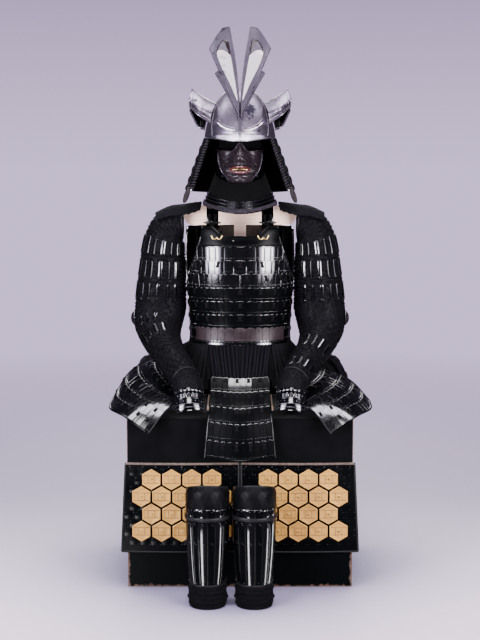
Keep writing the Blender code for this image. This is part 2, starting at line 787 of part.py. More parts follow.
def build_mask():
    outer = mask_grid(19, 13)
    middle = Vector((0, HEAD_MIDDLE, 0))
    inner = []
    for line in outer:
        inner.append([p - (p - middle - Vector((0, 0, p.z))).normalized() * PLATE for p in line])
    wall("face_mask", outer, inner, FACE)
    lames = 4
    rows = []
    for k in range(lames):
        rows.append((k / lames + (0.02 if k else 0.0), 0.0))
        rows.append(((k + 1) / lames, STEP))
    turn = spread(17, -MASK_REACH, MASK_REACH)
    outer = [[throat_point(d, share, out) for d in turn] for share, out in rows]
    inner = [[throat_point(d, share, -PLATE) for d in turn] for share, _ in rows]
    wall("throat_guard", outer, inner, LACQUER)


def sleeve_rings(sign, out=0.0, columns=14):
    """Rings of points round the sleeve's path, carried along it without twist."""
    places = [Vector((sign * row.x, row.y, row.z)) for row in SLEEVE]
    across = [row.across for row in SLEEVE]
    deep = [row.deep for row in SLEEVE]
    shares = [0.0] + spread(15, 0.11, 1.0)
    path = [along(places, s) for s in shares]
    up, side, tangent = Vector((0, 0, 1)), Vector((0, 1, 0)), Vector((sign, 0, 0))
    rings = []
    for i, share in enumerate(shares):
        if i:
            reach = 1 if i < 5 else 2  # turns slowly round the elbow
            run = (path[min(i + reach, len(path) - 1)] - path[i - reach]).normalized()
            turn = tangent.rotation_difference(run)
            up, side, tangent = turn @ up, turn @ side, run
        a, d = along(across, share) + out, along(deep, share) + out
        ring = []
        for k in range(columns):
            angle = 2 * math.pi * k / columns * sign
            ring.append(path[i] + up * (a * math.cos(angle)) + side * (d * math.sin(angle)))
        rings.append(ring)
    return rings


def sleeve_guard(name, sign, first, last, lames, reach):
    """A plated patch on the outside of the sleeve between two of its rings, in overlapping lames."""
    low = sleeve_rings(sign, GAP)
    columns = len(low[0])
    outer, inner = [], []
    for r in range(first, last + 1):
        lame_share = ((r - first) * lames / (last - first)) % 1.0
        high = sleeve_rings(sign, GAP + 0.003 + 0.0025 * lame_share)[r]
        outer.append([high[k % columns] for k in range(-reach, reach + 1)])
        inner.append([low[r][k % columns] for k in range(-reach, reach + 1)])
    return wall(name, outer, inner, LACQUER)


def build_sleeves():
    for side, sign in (("right", -1), ("left", 1)):
        rings = sleeve_rings(sign)
        wall("sleeve_" + side, rings, sleeve_rings(sign, -CLOTH), MAIL, around=True)
        sleeve_guard("upper_arm_guard_" + side, sign, 3, 7, 2.0, 2)
        sleeve_guard("forearm_guard_" + side, sign, 10, 14, 2.0, 2)
        build_elbow_disc(side, rings[8])
        build_hand_guard(side, sign, rings[-1])
        build_shoulder_wing(side, sign)


def build_elbow_disc(side, ring):
    """A domed, fluted disc over the point of the elbow."""
    middle = sum(ring, Vector()) / len(ring)
    out = (ring[0] - middle).normalized()
    along_x = out.cross(Vector((0, 1, 0))).normalized()
    along_y = out.cross(along_x).normalized()
    seat = ring[0] + out * 2 * GAP
    lines = []
    for radius, lift in ((0.023, 0.0), (0.023, 0.004), (0.013, 0.008), (0.004, 0.0095)):
        line = []
        for k in range(12):
            a = math.radians(30 * k)
            r = radius * (1.0 if k % 2 else 0.9)
            line.append(seat + out * lift + (along_x * math.cos(a) + along_y * math.sin(a)) * r)
        lines.append(line)
    closed_loft("elbow_disc_" + side, lines, LACQUER)


HandRow = namedtuple("HandRow", "reach half_width height")
HAND = (
    HandRow(0.0, 0.0425, 0.0410),
    HandRow(0.018, 0.0425, 0.0385),
    HandRow(0.044, 0.0440, 0.0355),
    HandRow(0.045, 0.0415, 0.0315),
    HandRow(0.072, 0.0420, 0.0290),
    HandRow(0.073, 0.0395, 0.0250),
    HandRow(0.092, 0.0385, 0.0215),
    HandRow(0.108, 0.0350, 0.0160),
)


def build_hand_guard(side, sign, ring):
    """A domed plate over the wrist and the back of the hand, stepped at the knuckles, from the sleeve's end ring."""
    run = Vector((-0.08 * sign, -0.62, -0.78)).normalized()
    across = Vector((sign, -0.12, -0.10))
    across = (across - run * across.dot(run)).normalized()
    up = run.cross(across).normalized() * sign
    end = sum(ring, Vector()) / len(ring)
    heading = (ring[0] - end).cross(ring[3] - end).normalized()
    heading *= math.copysign(1.0, heading.dot(run))
    rise = (up - heading * up.dot(heading)).normalized()
    aside = rise.cross(heading)
    aside *= math.copysign(1.0, aside.dot(across))
    start = end + Vector((-0.006 * sign, -0.004, 0.0))
    outer, inner = [], []
    for row in HAND:
        centre, wide, high = start + run * row.reach, across, up
        if row is HAND[0]:
            centre, wide, high = end + heading * GAP, aside, rise
        out_line, in_line = [], []
        for degrees in spread(9, -84, 84):
            a = math.radians(degrees)
            out_line.append(centre + wide * (math.sin(a) * row.half_width) + high * (math.cos(a) * row.height))
            in_line.append(
                centre + wide * (math.sin(a) * (row.half_width - PLATE)) + high * (math.cos(a) * (row.height - PLATE))
            )
        outer.append(out_line)
        inner.append(in_line)
    wall("hand_guard_" + side, outer, inner, LACQUER)


WingRow = namedtuple("WingRow", "x top half")
WING = (
    WingRow(0.124, 1.1270, 0.050),
    WingRow(0.150, 1.1230, 0.054),
    WingRow(0.178, 1.1190, 0.055),
    WingRow(0.205, 1.1160, 0.054),
    WingRow(0.230, 1.1070, 0.052),
    WingRow(0.250, 1.0965, 0.048),
)


def build_shoulder_wing(side, sign):
    """A padded wing over the top of the shoulder, with a scalloped edge."""
    outer, inner = [], []
    for i, row in enumerate(WING):
        out_line, in_line = [], []
        for j, across in enumerate(spread(9)):
            scallop = 0.005 * (j % 2) * ((i == len(WING) - 1) - (i == 0))
            drop = 0.056 * (1 - math.sqrt(1 - (across * row.half / 0.064) ** 2))
            place = Vector((sign * (row.x + scallop), 0.012 + across * row.half, row.top - drop))
            out_line.append(place)
            in_line.append(place - Vector((0, 0, 0.005)))
        outer.append(out_line)
        inner.append(in_line)
    wall("shoulder_wing_" + side, outer, inner, LACQUER)


def tasset(name, control, lames, columns, rim_degrees):
    """A skirt panel: cords from the cuirass's lower rim, then lames whose lower edges stand proud."""
    shares = spread(columns, 0, 1)
    first, last = rim_degrees
    rim = [trunk(first + (last - first) * u, CUIRASS_BOTTOM - 2 * GAP) for u in shares]
    waist = [patch_point(control, 0, u) for u in shares]
    grid = [[top.lerp(low, v) for top, low in zip(rim, waist)] for v in (0.0, 0.34, 0.67, 0.96)]
    offsets = [0.0] * len(grid)
    for k in range(lames):
        for v, out in ((k / lames, 0.0 if k else 0.002), ((k + 0.95) / lames, STEP)):
            grid.append([patch_point(control, v, u) for u in shares])
            offsets.append(out)
    outer = moved_out(grid, lambda r, c: offsets[r])
    wall(name, outer, moved_out(grid, -PLATE), LACQUER)


def mirrored(control):
    return [[(-x, y, z) for x, y, z in reversed(row)] for row in control]


def build_skirt():
    tasset("tasset_front", FRONT_PANEL, 6, 9, (-33, 33))
    tasset("tasset_right_front", RIGHT_FRONT_TASSET, 5, 9, (-84, -34))
    tasset("tasset_left_front", LEFT_FRONT_TASSET, 5, 9, (34, 84))
    tasset("tasset_left_rear", LEFT_REAR_TASSET, 4, 6, (94, 138))
    tasset("tasset_right_rear", mirrored(LEFT_REAR_TASSET), 4, 6, (-138, -94))
    tasset("tasset_back", BACK_PANEL, 4, 8, (148, 212))


def build_thigh_guard():
    """The apron lies on the lid, folds over its front edge and hangs; the plated panels end it."""
    face = -CHEST_DEPTH / 2
    lift = CHEST_HEIGHT + GAP + CLOTH
    front = face - GAP - CLOTH
    profile = [(APRON_BACK, lift), (face + 0.010, lift), (face, lift - 0.0005)]
    profile += [(front, CHEST_HEIGHT - 0.001), (front, CHEST_HEIGHT - 0.014)]
    profile += [(front, 0.43), (front - 0.001, APRON_BOTTOM)]
    inner_profile = [(APRON_BACK, lift - CLOTH), (face + 0.010, lift - CLOTH)]
    inner_profile += [(face - 0.0001, lift - CLOTH), (face - GAP, CHEST_HEIGHT - 0.002)]
    inner_profile += [(face - GAP, CHEST_HEIGHT - 0.014), (face - GAP, 0.43)]
    inner_profile += [(face - GAP - 0.001, APRON_BOTTOM)]
    outer = [[Vector((x, y, z)) for x in spread(5, -APRON_HALF, APRON_HALF)] for y, z in profile]
    inner = [
        [Vector((x, y, z)) for x in spread(5, -APRON_HALF, APRON_HALF)] for y, z in inner_profile
    ]
    wall("thigh_guard_apron", outer, inner, FABRIC)
    for side, sign in (("right", -1), ("left", 1)):
        grid = []
        for v in spread(7, 0, 1):
            z = PANEL_TOP + (PANEL_BOTTOM - PANEL_TOP) * v
            line = []
            for u in spread(8, 0, 1):
                far = PANEL_OUTER_TOP + (PANEL_OUTER_BOTTOM - PANEL_OUTER_TOP) * v
                x = PANEL_INNER + (far - PANEL_INNER) * u
                bow = 0.008 * math.sin(math.pi * u) + 0.010 * v
                round_off = 0.010 * max(0.0, u - 0.9) / 0.1 if v == 1.0 else 0.0
                line.append(Vector((sign * x, front - 0.0045 - bow, z + round_off)))
            grid.append(line if sign > 0 else line[::-1])
        sheet("thigh_panel_" + side, grid, 0.003, LACQUER)


def shin_point(table, centre, degrees, z, out=0.0):
    p = ring_point(table, 0.0, degrees, z, 0.92, out)
    return Vector((centre + p.x, SHIN_Y + p.y, z))


def build_shins():
    """Each shin guard is an open-backed shell of tall plates over a quilted ankle cuff."""
    facets = spread(13, -128, 128)
    for side, centre in zip(("right", "left"), SHIN_X):
        heights = (0.352, 0.340, 0.318, 0.286, 0.284, 0.262, 0.260, 0.215, 0.165, 0.115, 0.0665)
        lifts = (0.0, 0.0, 0.001, 0.003, 0.0, 0.0, 0.003, 0.003, 0.003, 0.003, 0.003)
        outer, inner = [], []
        for z, lift in zip(heights, lifts):
            arch = 0.030 * max(0.0, (z - 0.318) / 0.034)
            line_out, line_in = [], []
            for d in facets:
                droop = arch * (abs(d) / 128.0) ** 2
                ridge = 0.0015 if round(d / 21.333) % 3 == 0 else 0.0
                line_out.append(shin_point(SHIN, centre, d, z - droop, lift + ridge))
                line_in.append(shin_point(SHIN, centre, d, z - droop, -PLATE))
            outer.append(line_out)
            inner.append(line_in)
        wall("shin_guard_" + side, outer, inner, LACQUER)
        levels = [row.z for row in ANKLE]
        turn = spread(15, -150, 150)
        cuff = [[shin_point(ANKLE, centre, d, z) for d in turn] for z in levels]
        lining = [[shin_point(ANKLE, centre, d, z, -0.003) for d in turn] for z in levels]
        wall("ankle_cuff_" + side, cuff, lining, FABRIC)


build_chest()
build_stand()
build_cuirass()
build_straps()
build_helmet()
build_mask()
build_sleeves()
build_skirt()
build_thigh_guard()
build_shins()
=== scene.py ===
"""Looks for the suit of samurai armour on its stand and chest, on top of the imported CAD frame.

Metres, +Z up, the armour faces -Y. "right" in a name is the wearer's right, at -X. Surfaces come from the
same tables as the CAD source: a Patch runs a smooth surface through a grid of points, and a Maker gathers
the geometry of one piece on it. On a patch, v runs down from 0 to 1 and u along each row, and out is the
distance from it.
"""
import math
from collections import namedtuple

import bpy
import numpy as np
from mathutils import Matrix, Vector


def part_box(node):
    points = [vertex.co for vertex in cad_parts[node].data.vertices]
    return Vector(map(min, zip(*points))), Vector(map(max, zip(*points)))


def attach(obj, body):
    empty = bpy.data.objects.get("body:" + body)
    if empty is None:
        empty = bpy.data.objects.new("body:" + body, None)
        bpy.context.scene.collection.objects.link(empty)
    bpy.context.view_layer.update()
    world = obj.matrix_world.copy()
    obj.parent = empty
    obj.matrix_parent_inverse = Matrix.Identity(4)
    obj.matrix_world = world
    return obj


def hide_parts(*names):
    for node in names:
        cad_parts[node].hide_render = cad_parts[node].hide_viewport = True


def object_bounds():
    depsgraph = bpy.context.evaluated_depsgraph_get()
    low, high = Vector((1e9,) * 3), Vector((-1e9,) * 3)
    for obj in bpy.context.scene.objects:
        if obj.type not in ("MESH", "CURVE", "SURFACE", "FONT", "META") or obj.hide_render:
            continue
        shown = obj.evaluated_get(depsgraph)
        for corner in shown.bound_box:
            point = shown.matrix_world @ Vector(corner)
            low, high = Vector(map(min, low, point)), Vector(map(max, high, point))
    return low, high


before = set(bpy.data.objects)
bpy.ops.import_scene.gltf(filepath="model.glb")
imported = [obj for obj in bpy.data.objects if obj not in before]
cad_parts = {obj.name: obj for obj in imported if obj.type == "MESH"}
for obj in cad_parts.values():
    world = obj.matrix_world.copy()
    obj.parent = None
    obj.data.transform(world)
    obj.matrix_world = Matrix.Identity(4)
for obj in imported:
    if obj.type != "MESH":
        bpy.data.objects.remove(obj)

CAD_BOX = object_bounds()
GAP = 0.0003  # left between neighbours
PLATE = 0.0025  # thickness of the plates in the CAD
Row = namedtuple("Row", "z half_width half_depth")

LAME_PITCH, LAMES, LAMES_TOP, CUIRASS_BOTTOM = 0.0402, 7, 0.9988, 0.7055
FRONT_REACH, BACK_REACH = 84.7, 95.1  # degrees to each side of the middle
BACK_TOP = 1.0525
NECKLINE_LOW, NECKLINE_HIGH = 1.027, 1.056
TRUNK = [Row(*r) for r in (
    (0.690, 0.154, 0.124), (0.730, 0.150, 0.120), (0.800, 0.153, 0.123), (0.880, 0.159, 0.128),
    (0.960, 0.162, 0.128), (1.020, 0.161, 0.124), (1.070, 0.160, 0.120),
)]
ARMHOLE = (  # height, degrees from the middle of the front
    (0.860, FRONT_REACH), (0.885, 80.0), (0.920, 68.0), (0.960, 56.0), (0.999, 47.0), (1.030, 42.0), (1.070,
        40.0),
)
BOWL = [Row(*r) for r in (
    (1.316, 0.1075, 0.126), (1.345, 0.1030, 0.121), (1.375, 0.0950, 0.112), (1.403, 0.0835, 0.099),
    (1.432, 0.0665, 0.079), (1.456, 0.0460, 0.055), (1.469, 0.0240, 0.029),
)]
BOWL_APEX, BOWL_MIDDLE, VISOR_REACH, VISOR_FLARE, VISOR_DROP = 1.475, -0.005, 58.0, 0.018, 0.010
HEAD = [Row(*r) for r in (
    (1.128, 0.040, 0.044), (1.160, 0.050, 0.056), (1.200, 0.062, 0.068), (1.260, 0.068, 0.076),
    (1.320, 0.066, 0.078), (1.370, 0.065, 0.075), (1.408, 0.063, 0.074),
)]
MASK_REACH = 89.0
SLEEVE = (  # x, y, z of the arm's middle line, half sizes across and deep
    (0.172, 0.012, 1.069, 0.045, 0.052), (0.211, 0.012, 1.048, 0.055, 0.062), (0.231, 0.012, 1.003, 0.062,
        0.068),
    (0.2345, 0.012, 0.940, 0.0685, 0.071), (0.2395, 0.014, 0.872, 0.0735, 0.070), (0.2430, 0.016, 0.805,
        0.0770, 0.068),
    (0.2480, -0.002, 0.752, 0.0700, 0.064), (0.236, -0.046, 0.712, 0.056, 0.054), (0.210, -0.104, 0.676,
        0.047, 0.048),
    (0.182, -0.162, 0.644, 0.043, 0.045), (0.158, -0.214, 0.616, 0.041, 0.044),
)
# Skirt panels: points along each row, from the waist down
RIGHT_FRONT_TASSET = (
    ((-0.206, 0.045, 0.672), (-0.192, -0.040, 0.640), (-0.158, -0.106, 0.602), (-0.100, -0.166, 0.586)),
    ((-0.334, 0.058, 0.606), (-0.320, -0.060, 0.592), (-0.270, -0.156, 0.566), (-0.202, -0.226, 0.540)),
    ((-0.396, 0.050, 0.513), (-0.388, -0.120, 0.514), (-0.338, -0.228, 0.511), (-0.262, -0.290, 0.473)),
)
LEFT_FRONT_TASSET = (
    ((0.100, -0.168, 0.590), (0.158, -0.108, 0.604), (0.188, -0.040, 0.618), (0.200, 0.030, 0.632)),
    ((0.202, -0.236, 0.537), (0.270, -0.160, 0.562), (0.312, -0.070, 0.575), (0.330, 0.030, 0.583)),
    ((0.262, -0.290, 0.471), (0.340, -0.228, 0.511), (0.390, -0.120, 0.513), (0.402, 0.030, 0.512)),
)
LEFT_REAR_TASSET = (
    ((0.168, 0.060, 0.668), (0.165, 0.105, 0.672), (0.128, 0.138, 0.672)),
    ((0.300, 0.078, 0.636), (0.282, 0.150, 0.640), (0.208, 0.205, 0.626)),
    ((0.346, 0.080, 0.535), (0.352, 0.180, 0.530), (0.270, 0.262, 0.505)),
)
FRONT_PANEL = (
    ((-0.070, -0.128, 0.640), (0.0, -0.140, 0.637), (0.070, -0.128, 0.640)),
    ((-0.084, -0.172, 0.606), (0.0, -0.180, 0.602), (0.084, -0.172, 0.606)),
    ((-0.088, -0.218, 0.548), (0.0, -0.230, 0.543), (0.088, -0.218, 0.548)),
    ((-0.093, -0.243, 0.488), (0.0, -0.257, 0.481), (0.093, -0.243, 0.488)),
    ((-0.102, -0.252, 0.395), (0.0, -0.270, 0.387), (0.102, -0.252, 0.395)),
)
BACK_PANEL = (
    ((0.100, 0.150, 0.655), (0.0, 0.158, 0.655), (-0.100, 0.150, 0.655)),
    ((0.110, 0.205, 0.590), (0.0, 0.216, 0.588), (-0.110, 0.205, 0.590)),
    ((0.118, 0.242, 0.500), (0.0, 0.256, 0.496), (-0.118, 0.242, 0.500)),
    ((0.122, 0.250, 0.400), (0.0, 0.266, 0.394), (-0.122, 0.250, 0.400)),
)
CHEST_HEIGHT, CHEST_DEPTH, CLOTH = 0.50, 0.44, 0.0025
SHIN_X, SHIN_Y = (-0.0915, 0.0405), -0.375
SHIN = [Row(*r) for r in (
    (0.352, 0.046, 0.050), (0.335, 0.057, 0.060), (0.300, 0.060, 0.064), (0.240, 0.060, 0.064),
    (0.180, 0.058, 0.062), (0.120, 0.054, 0.058), (0.060, 0.048, 0.054),
)]
ANKLE = [Row(*r) for r in (
    (0.066, 0.0505, 0.0565), (0.052, 0.0545, 0.0600), (0.040, 0.0520, 0.0580), (0.026, 0.0555, 0.0610),
    (0.012, 0.0530, 0.0590), (0.0, 0.0500, 0.0560),
)]
HAND = (  # distance along the hand, half sizes across and deep
    (0.0, 0.0425, 0.0410), (0.018, 0.0425, 0.0385), (0.044, 0.0440, 0.0355), (0.045, 0.0415, 0.0315),
    (0.072, 0.0420, 0.0290), (0.073, 0.0395, 0.0250), (0.092, 0.0385, 0.0215), (0.108, 0.0350, 0.0160),
)
WING = (  # x, height of the top, half size from front to back
    (0.124, 1.1270, 0.050), (0.150, 1.1230, 0.054), (0.178, 1.1190, 0.055), (0.205, 1.1160, 0.054),
    (0.230, 1.1070, 0.052), (0.250, 1.0965, 0.048),
)
SIDES = (("right", -1), ("left", 1))
BEHIND = -0.0004  # the wall behind a row of lames lies this far from the plate's face


# Curves and surfaces, as in the CAD source

def catmull(values, i, t):
    """The smooth curve through the values, a share t past value i."""
    p1, p2 = values[i], values[i + 1]
    p0 = values[i - 1] if i > 0 else p1 * 2 - p2
    p3 = values[i + 2] if i + 2 < len(values) else p2 * 2 - p1
    return (
        p1 + (p2 - p0) * (t / 2) + (p0 * 2 - p1 * 5 + p2 * 4 - p3) * (t * t / 2)
        + (p1 * 3 - p0 - p2 * 3 + p3) * (t * t * t / 2)
    )


def along(points, share):
    """The smooth curve through the points at a share of the way."""
    place = min(max(share, 0.0), 1.0) * (len(points) - 1)
    i = min(int(place), len(points) - 2)
    return catmull(points, i, place - i)


def lookup(pairs, z):
    """The curve through (z, value) pairs at z."""
    rows = sorted(pairs)
    z = min(max(z, rows[0][0]), rows[-1][0])
    i = max(k for k in range(len(rows) - 1) if rows[k][0] <= z or k == 0)
    return catmull([r[1] for r in rows], i, (z - rows[i][0]) / (rows[i + 1][0] - rows[i][0]))


def patch_point(control, v, u):
    return along([along([Vector(p) for p in row], u) for row in control], v)


def spread(count, low=-1.0, high=1.0):
    return [low + (high - low) * i / (count - 1) for i in range(count)]


def ring_point(table, middle, degrees, z, power=1.0, out=0.0):
    """A point on a closed form, at degrees from the front and height z; a low power squares its corners."""
    angle = math.radians(degrees)
    s, c = math.sin(angle), math.cos(angle)
    width = lookup([(r.z, r.half_width) for r in table], z)
    depth = lookup([(r.z, r.half_depth) for r in table], z)
    x = (width + out) * math.copysign(abs(s) ** power, s)
    y = (depth + out) * math.copysign(abs(c) ** power, c)
    return Vector((x, middle - y, z))


def trunk(degrees, z, out=0.0):
    return ring_point(TRUNK, 0.005, degrees, z, 2.0 / 2.4, out)


def bowl(degrees, z, out=0.0):
    return ring_point(BOWL, BOWL_MIDDLE, degrees, z, 1.0, out)


def bump(x, centre, width):
    return math.exp(-(((x - centre) / width) ** 2))


def smooth(x, low, high):
    t = min(max((x - low) / (high - low), 0.0), 1.0)
    return t * t * (3 - 2 * t)


class Patch:
    """A smooth surface through a grid of points that runs down its rows and towards +X along them."""

    def __init__(self, grid, around=False):
        g = np.array([[tuple(p) for p in line] for line in grid], float)
        self.around = around
        self.rows = g.shape[0] - 1
        self.columns = g.shape[1] if around else g.shape[1] - 1
        if around:
            g = np.concatenate([g[:, -1:], g, g[:, :2]], axis=1)
        else:
            g = np.concatenate([2 * g[:, :1] - g[:, 1:2], g, 2 * g[:, -1:] - g[:, -2:-1]], axis=1)
        self.g = np.concatenate([2 * g[:1] - g[1:2], g, 2 * g[-1:] - g[-2:-1]], axis=0)
        self.width = length(self.line(0.5, (0, 1), 0.0, 65))
        self.height = length(self.line((0, 1), 0.5, 0.0, 65))

    @staticmethod
    def _weights(t):
        places = [-t / 2 + t**2 - t**3 / 2, 1 - 2.5 * t**2 + 1.5 * t**3,
                  t / 2 + 2 * t**2 - 1.5 * t**3, (t**3 - t**2) / 2]
        slopes = [-0.5 + 2 * t - 1.5 * t**2, -5 * t + 4.5 * t**2, 0.5 + 4 * t - 4.5 * t**2, 1.5 * t**2 - t]
        return np.stack(places, -1), np.stack(slopes, -1)

    def frames(self, v, u):
        """Points, downward and sideways unit directions and outward normals."""
        v, u = np.broadcast_arrays(np.asarray(v, float), np.asarray(u, float))
        a = np.clip(v, 0, 1) * self.rows
        b = (u % 1.0 if self.around else np.clip(u, 0, 1)) * self.columns
        i = np.minimum(a.astype(int), self.rows - 1)
        j = np.minimum(b.astype(int), self.columns - 1)
        wv, dv = self._weights(a - i)
        wu, du = self._weights(b - j)
        k = np.arange(4)
        near = self.g[i[..., None, None] + k[:, None], j[..., None, None] + k]
        p = np.einsum("...a,...b,...abc->...c", wv, wu, near)
        down = unit(np.einsum("...a,...b,...abc->...c", dv, wu, near))
        side = unit(np.einsum("...a,...b,...abc->...c", wv, du, near))
        normal = unit(np.cross(down, side))
        return p, down, np.cross(normal, down), normal

    def at(self, v, u, out=0.0):
        p, _, _, n = self.frames(v, u)
        return p + n * np.asarray(out, float)[..., None]

    def line(self, v, u, out=0.0, count=60):
        """Points along the patch, where v or u is a pair of ends."""
        v, u = (np.linspace(*a, count) if isinstance(a, tuple) else np.full(count, a) for a in (v, u))
        return self.at(v, u, out)

    def girth(self, v):
        return length(self.line(v, (0, 1), 0.0, 49))


def unit(a):
    return a / np.maximum(np.linalg.norm(a, axis=-1, keepdims=True), 1e-12)


def length(points):
    return np.linalg.norm(np.diff(points, axis=0), axis=1).sum()


def shares(a):
    """Shares from 0 to 1, given as how many there are or as themselves."""
    return np.linspace(0, 1, a) if isinstance(a, int) else np.asarray(a, float)


def quads(index, order=(0, 1, 2, 3)):
    """Quads between neighbours in a grid of point numbers."""
    corners = index[:-1, :-1], index[1:, :-1], index[1:, 1:], index[:-1, 1:]
    return np.stack([corners[k] for k in order], -1).reshape(-1, 4)


FLIPPED, ROD_ORDER = (3, 2, 1, 0), (0, 3, 2, 1)


# Making pieces

class Maker:
    """Gathers the geometry of one piece."""

    def __init__(self):
        self.points, self.faces, self.slots, self.count = [], [], [], 0

    def add(self, points, faces, slot=0):
        points = np.asarray(points, float).reshape(-1, 3)
        self.points.append(points)
        for block in faces:
            block = np.asarray(block, int)
            self.faces += (block + self.count).tolist()
            self.slots += [slot] * len(block)
        self.count += len(points)

    def grid(self, points, slot=0, around=False, flip=False):
        rows, columns = points.shape[:2]
        index = np.arange(rows * columns).reshape(rows, columns)
        if around:
            index = np.concatenate([index, index[:, :1]], axis=1)
        self.add(points, [quads(index, FLIPPED) if flip else quads(index)], slot)

    def shell(self, outer, inner, slot=0, around=False):
        """A closed wall between two grids."""
        rows, columns = outer.shape[:2]
        o = np.arange(rows * columns).reshape(rows, columns)
        i = o + rows * columns
        if around:
            o, i = (np.concatenate([x, x[:, :1]], axis=1) for x in (o, i))
        faces = [quads(o), quads(i, FLIPPED)]
        faces += [np.stack([i[0, :-1], o[0, :-1], o[0, 1:], i[0, 1:]], -1)]
        faces += [np.stack([o[-1, :-1], i[-1, :-1], i[-1, 1:], o[-1, 1:]], -1)]
        if not around:
            faces += [np.stack([i[:-1, 0], i[1:, 0], o[1:, 0], o[:-1, 0]], -1)]
            faces += [np.stack([o[:-1, -1], o[1:, -1], i[1:, -1], i[:-1, -1]], -1)]
        self.add(np.concatenate([outer.reshape(-1, 3), inner.reshape(-1, 3)]), faces, slot)

    def wall(self, patch, v, u, out, inside, slot=0, around=False):
        """A closed wall on a patch, between two distances from it."""
        v, u = shares(v)[:, None], shares(u)[None]
        self.shell(patch.at(v, u, out + 0 * u * v), patch.at(v, u, inside + 0 * u * v), slot, around)

    def tube(self, path, radius, slot=0, sides=6, normal=None, flat=1.0, closed=False):
        """A rod along a path; flat is its thickness along normal as a share of its width."""
        path = np.asarray(path, float)
        count = len(path)
        radius = np.broadcast_to(np.asarray(radius, float), (count,))
        if closed:
            run = unit(np.roll(path, -1, 0) - np.roll(path, 1, 0))
        else:
            run = unit(np.gradient(path, axis=0))
        if normal is None:
            guess = np.array([0.03, -1.0, 0.09])
            normal = np.broadcast_to(guess, (count, 3))
            if abs(run @ unit(guess)).max() > 0.97:
                normal = np.broadcast_to(np.array([1.0, 0.05, 0.1]), (count, 3))
        normal = np.broadcast_to(np.asarray(normal, float), (count, 3))
        side = unit(np.cross(run, normal))
        up = np.cross(side, run)
        turn = 2 * np.pi * np.arange(sides) / sides
        ring = side[:, None] * np.cos(turn)[:, None] + up[:, None] * (np.sin(turn) * flat)[:, None]
        points = path[:, None] + ring * radius[:, None, None]
        index = np.arange(count * sides).reshape(count, sides)
        index = np.concatenate([index, index[:, :1]], axis=1)
        if closed:
            index = np.concatenate([index, index[:1]], axis=0)
        blocks = [quads(index, ROD_ORDER)]
        if not closed:
            blocks += [np.array([np.arange(sides)[::-1]]), np.array([(count - 1) * sides + np.arange(sides)])]
        self.add(points, blocks, slot)

    def copies(self, points, faces, p, x, y, z, slot=0, scale=1.0):
        """The small form (points, faces) set at each place p with its axes x, y, z."""
        points = np.asarray(points, float)
        p, x, y, z = (np.asarray(a, float).reshape(-1, 3) for a in (p, x, y, z))
        scale = np.broadcast_to(np.asarray(scale, float), (len(p),))
        local = points[None] * scale[:, None, None]
        placed = p[:, None] + local[..., :1] * x[:, None] + local[..., 1:2] * y[:, None]
        placed = placed + local[..., 2:] * z[:, None]
        step = np.arange(len(p))[:, None, None] * len(points)
        self.add(placed, [(f[None] + step).reshape(-1, f.shape[-1]) for f in faces], slot)

    def studs(self, p, x, y, z, radius, height, slot=0):
        """Small domes at the places p, on the plane of x and y."""
        x, y, z = (np.asarray(a, float) for a in (x, y, z))
        self.copies(*DOME, p, x * radius, y * radius, z * height, slot)

    def piece(self, name, materials, replaces=(), sharp=40):
        mesh = bpy.data.meshes.new(name)
        mesh.from_pydata(np.concatenate(self.points).tolist(), [], self.faces)
        for made in materials:
            mesh.materials.append(made)
        mesh.polygons.foreach_set("material_index", np.array(self.slots, dtype=np.int32))
        mesh.shade_smooth()
        mesh.set_sharp_from_angle(angle=math.radians(sharp))
        mesh.update()
        thing = bpy.data.objects.new(name, mesh)
        bpy.context.scene.collection.objects.link(thing)
        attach(thing, "root")
        if replaces:
            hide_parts(*replaces)
        return thing


def dome(sides=6):
    """A small rounded bead on the plane z = 0, of radius and height 1."""
    turn = 2 * np.pi * np.arange(sides) / sides
    rings = [np.stack([np.cos(turn) * r, np.sin(turn) * r, np.full(sides, h)], -1)
             for r, h in ((1, 0), (0.72, 0.72))]
    points = np.concatenate(rings + [np.array([[0, 0, 1.0]])])
    i = np.arange(sides)
    j = (i + 1) % sides
    skirt = np.stack([i, j, j + sides, i + sides], -1)
    tip = np.stack([i + sides, j + sides, np.full(sides, 2 * sides)], -1)
    return points, [skirt, tip]


def plate_form(steps=3):
    """A domed plate with eased corners, of half sizes and height 1, on the plane z = 0."""
    gy, gx = np.meshgrid(np.linspace(-1, 1, steps + 1), np.linspace(-1, 1, steps + 1), indexing="ij")
    pull = 1 - 0.35 * np.maximum(0, np.abs(gx) * np.abs(gy)) ** 3 * 0.3
    points = np.stack([gx * pull, gy * pull, 1 - np.maximum(np.abs(gx), np.abs(gy)) ** 3], -1)
    return points.reshape(-1, 3), [quads(np.arange(gx.size).reshape(gx.shape), ROD_ORDER)]


DOME = dome()


